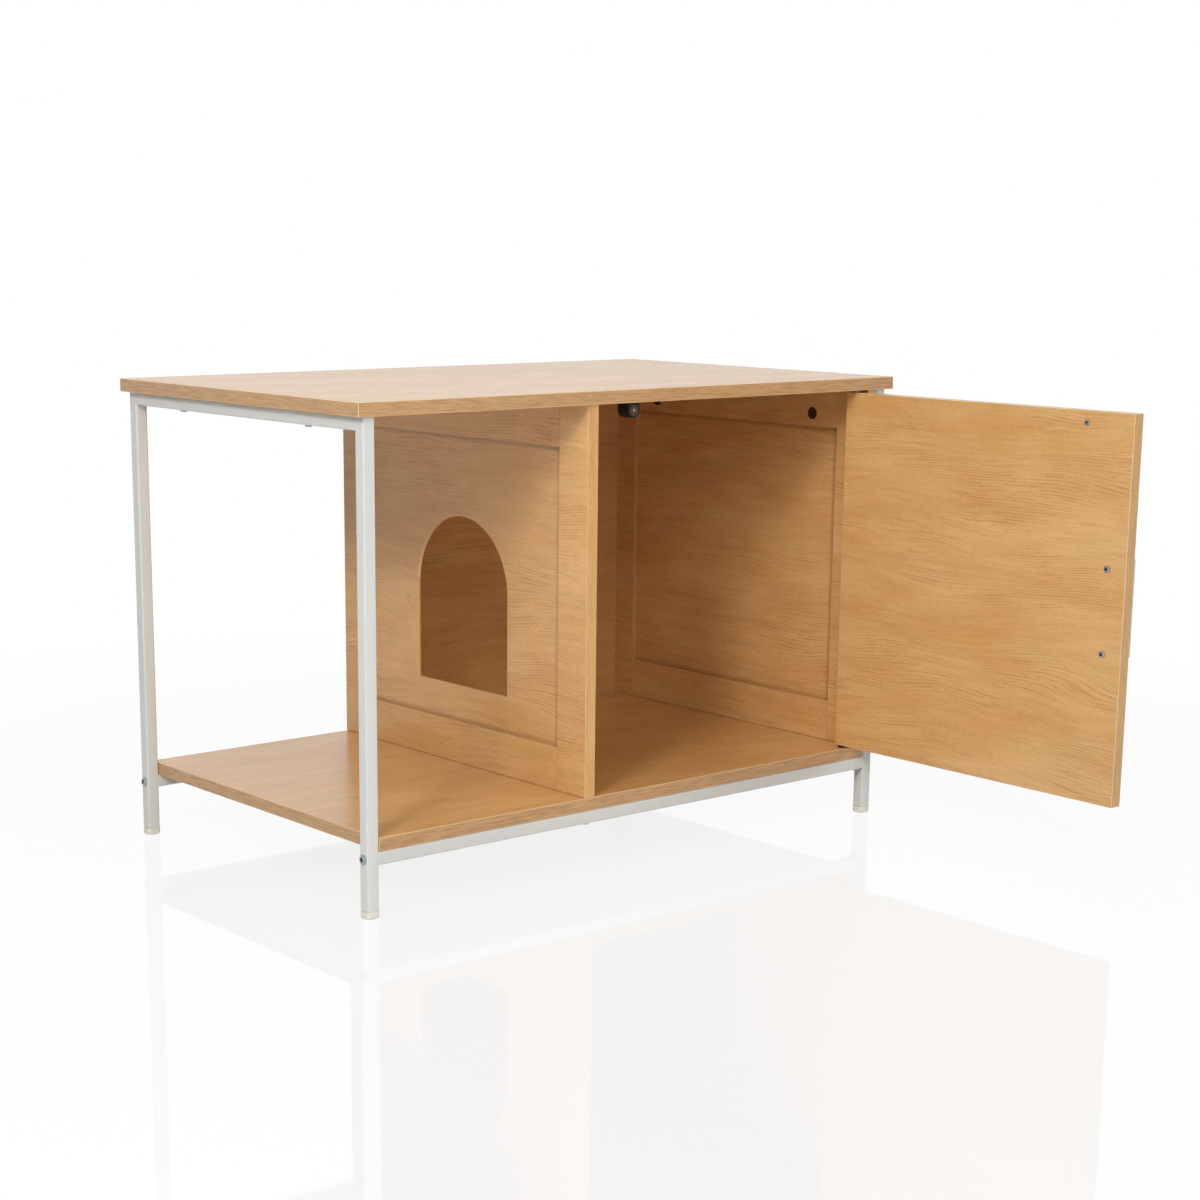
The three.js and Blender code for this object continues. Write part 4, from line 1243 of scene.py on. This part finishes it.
def drum_mesh(low, high, rounding, hole=0):
    """A short round body along Y that fills a box, with a hole in its front if asked."""
    centre = ((low[X] + high[X]) / 2, (low[Z] + high[Z]) / 2)
    drum = prism(circle(centre, (high[X] - low[X]) / 2, CAM_SEGMENTS), Y, low[Y], high[Y])
    bores = []
    if hole:
        bores = [prism(circle(centre, hole, CAM_SEGMENTS), Y, low[Y] - MM, high[Y] - MM)]
    cut_out(drum, *bores)
    soften(drum, rounding, 2)
    mesh = settled(drum)
    take_away(bores)
    return mesh


pole_low, pole_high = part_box("catch_pole")
bore = (pole_high[X] - pole_low[X]) / 2 + SEAM
make_piece("ring_magnet", drum_mesh(magnet_low, magnet_high, MAGNET_ROUND, bore), "catch_magnet")
make_piece("steel_pole", drum_mesh(pole_low, pole_high, POLE_ROUND), "catch_pole")

# %% [markdown]
# ## What stays as the CAD made it
# The pivot plates, their pins and screws and the dowels are turned and stamped parts whose CAD
# shape is already right. They only take their finish.

# %% Finishes for the CAD nodes that stay
shown = 0
for name, node in frame["nodes"].items():
    node.data.materials.clear()
    node.data.materials.append(finish[slot_of[name]])
    shown += not node.hide_render
print("CAD nodes with a finish:", len(frame["nodes"]), "of which shown:", shown)

# %% [markdown]
# ## Studio
# A catalogue photograph: a white glossy sheet under the cabinet, soft lamps and white all
# round. The sheet looks white because of its own colour for the camera, not because more
# light falls on it. It still takes the cabinet's shadow and a faint reflection, and runs into
# the white background before its far edge.

# %% Floor
FLOOR_HALF = 9
FLOOR_DROP = 0.1 * MM  # the sheet lies just under the feet
PAPER = (0.9, 0.9, 0.9, 1)
WHITE = (1, 1, 1, 1)
FLOOR_GLOW = 0.93  # how much of the sheet's white is its own
FADE_START, FADE_END = 1.0, 1.7  # the sheet runs into the white background over this distance
FLOOR_GLOSS = 0.1
GLOSS_ROUGHNESS = 0.03


def studio_rays(tree):
    """1 for the rays that show the studio: to the camera, off a gloss and through glass."""
    ray = add(tree, "ShaderNodeLightPath").outputs
    seen = ray["Is Camera Ray"]
    for kind in ("Is Glossy Ray", "Is Transmission Ray"):
        either = {0: seen, 1: ray[kind]}
        seen = add(tree, "ShaderNodeMath", either, operation="MAXIMUM").outputs[0]
    return seen


floor_material = bpy.data.materials.new("white_gloss_sheet")
floor_material.use_nodes = True
tree = floor_material.node_tree
tree.nodes.clear()
paper = add(tree, "ShaderNodeBsdfDiffuse", {"Color": PAPER}).outputs[0]
glow = add(tree, "ShaderNodeEmission", {"Color": WHITE, "Strength": 1.0}).outputs[0]
gloss = {"Color": WHITE, "Roughness": GLOSS_ROUGHNESS}
gloss = add(tree, "ShaderNodeBsdfGlossy", gloss).outputs[0]
seen = studio_rays(tree)
place = add(tree, "ShaderNodeTexCoord").outputs["Object"]
away = add(tree, "ShaderNodeVectorMath", {0: place}, operation="LENGTH").outputs["Value"]
fade = {"Value": away, "From Min": FADE_START, "From Max": FADE_END}
fade = add(tree, "ShaderNodeMapRange", fade).outputs[0]
far = add(tree, "ShaderNodeMath", {0: fade, 1: seen}, operation="MULTIPLY").outputs[0]
sheet = paper
for share, layer in ((FLOOR_GLOW, glow), (FLOOR_GLOSS, gloss)):
    sheet = add(tree, "ShaderNodeMixShader", {0: share, 1: sheet, 2: layer}).outputs[0]
sheet = add(tree, "ShaderNodeMixShader", {0: seen, 1: paper, 2: sheet}).outputs[0]
sheet = add(tree, "ShaderNodeMixShader", {0: far, 1: sheet, 2: glow}).outputs[0]
add(tree, "ShaderNodeOutputMaterial", {"Surface": sheet})

floor_mesh = bpy.data.meshes.new("floor")
corner_points = [(-1, -1), (1, -1), (1, 1), (-1, 1)]
places = [(a * FLOOR_HALF, b * FLOOR_HALF, -FLOOR_DROP) for a, b in corner_points]
floor_mesh.from_pydata(places, [], [(0, 1, 2, 3)])
floor_mesh.materials.append(floor_material)
floor = bpy.data.objects.new("floor", floor_mesh)
scene.collection.objects.link(floor)

# %% World
AMBIENT = 0.03

world = bpy.data.worlds.new("studio")
scene.world = world
world.use_nodes = True
tree = world.node_tree
tree.nodes.clear()
strength = {"Value": studio_rays(tree), "To Min": AMBIENT, "To Max": 1.0}
strength = add(tree, "ShaderNodeMapRange", strength).outputs[0]
background = add(tree, "ShaderNodeBackground", {"Color": WHITE, "Strength": strength})
add(tree, "ShaderNodeOutputWorld", {"Surface": background.outputs[0]})
print("studio: a white sheet", 2 * FLOOR_HALF, "m wide and a white world")

# %% [markdown]
# ## Lamps
# The soft shadows of the front leg on the floor board and of the divider inside the cell point
# back to lamps on the left and above. So the main light is a few soft boxes side by side
# there, with a low fill from the right for the cell and the door, one overhead and one behind.
# Each one was first rendered alone, and their strengths were then fitted together, so that the
# boards come out as bright as in the photograph. The lamps don't show in reflections, because
# the photograph's gloss shows an even white room.

# %% Lamps
LAMPS = {
    # name: (place, size, watts)
    "key_soft_box": ((-2.45, -1.3, 1.9), 0.6, 36),
    "second_key": ((-1.85, -2.15, 1.9), 0.6, 15),
    "left_soft_box": ((-2.62, -0.7, 2.0), 1.1, 14),
    "front_soft_box": ((-1.0, -2.5, 1.6), 1.1, 12),
    "high_left": ((-1.5, -1.05, 2.92), 1.1, 11),
    "low_right_fill": ((1.8, -2.56, 0.97), 1.1, 24),
    "overhead": ((0, 0, 3.2), 2.0, 14),
    "rear_fill": ((0.5, 3.0, 1.8), 1.5, 22),
}
AIM = Vector((0, 0, 0.3))
for name, (place, size, watts) in LAMPS.items():
    lamp = bpy.data.lights.new(name, "AREA")
    lamp.shape = "DISK"
    lamp.size = size
    lamp.energy = watts
    lamp_object = bpy.data.objects.new(name, lamp)
    lamp_object.location = place
    lamp_object.visible_glossy = False  # the foil mirrors the white studio, not the lamps
    lamp_object.rotation_euler = (AIM - Vector(place)).to_track_quat("-Z", "Y").to_euler()
    scene.collection.objects.link(lamp_object)
scene.view_settings.view_transform = "Standard"
print("lamps:", len(LAMPS), "with", sum(lamp[2] for lamp in LAMPS.values()), "W")
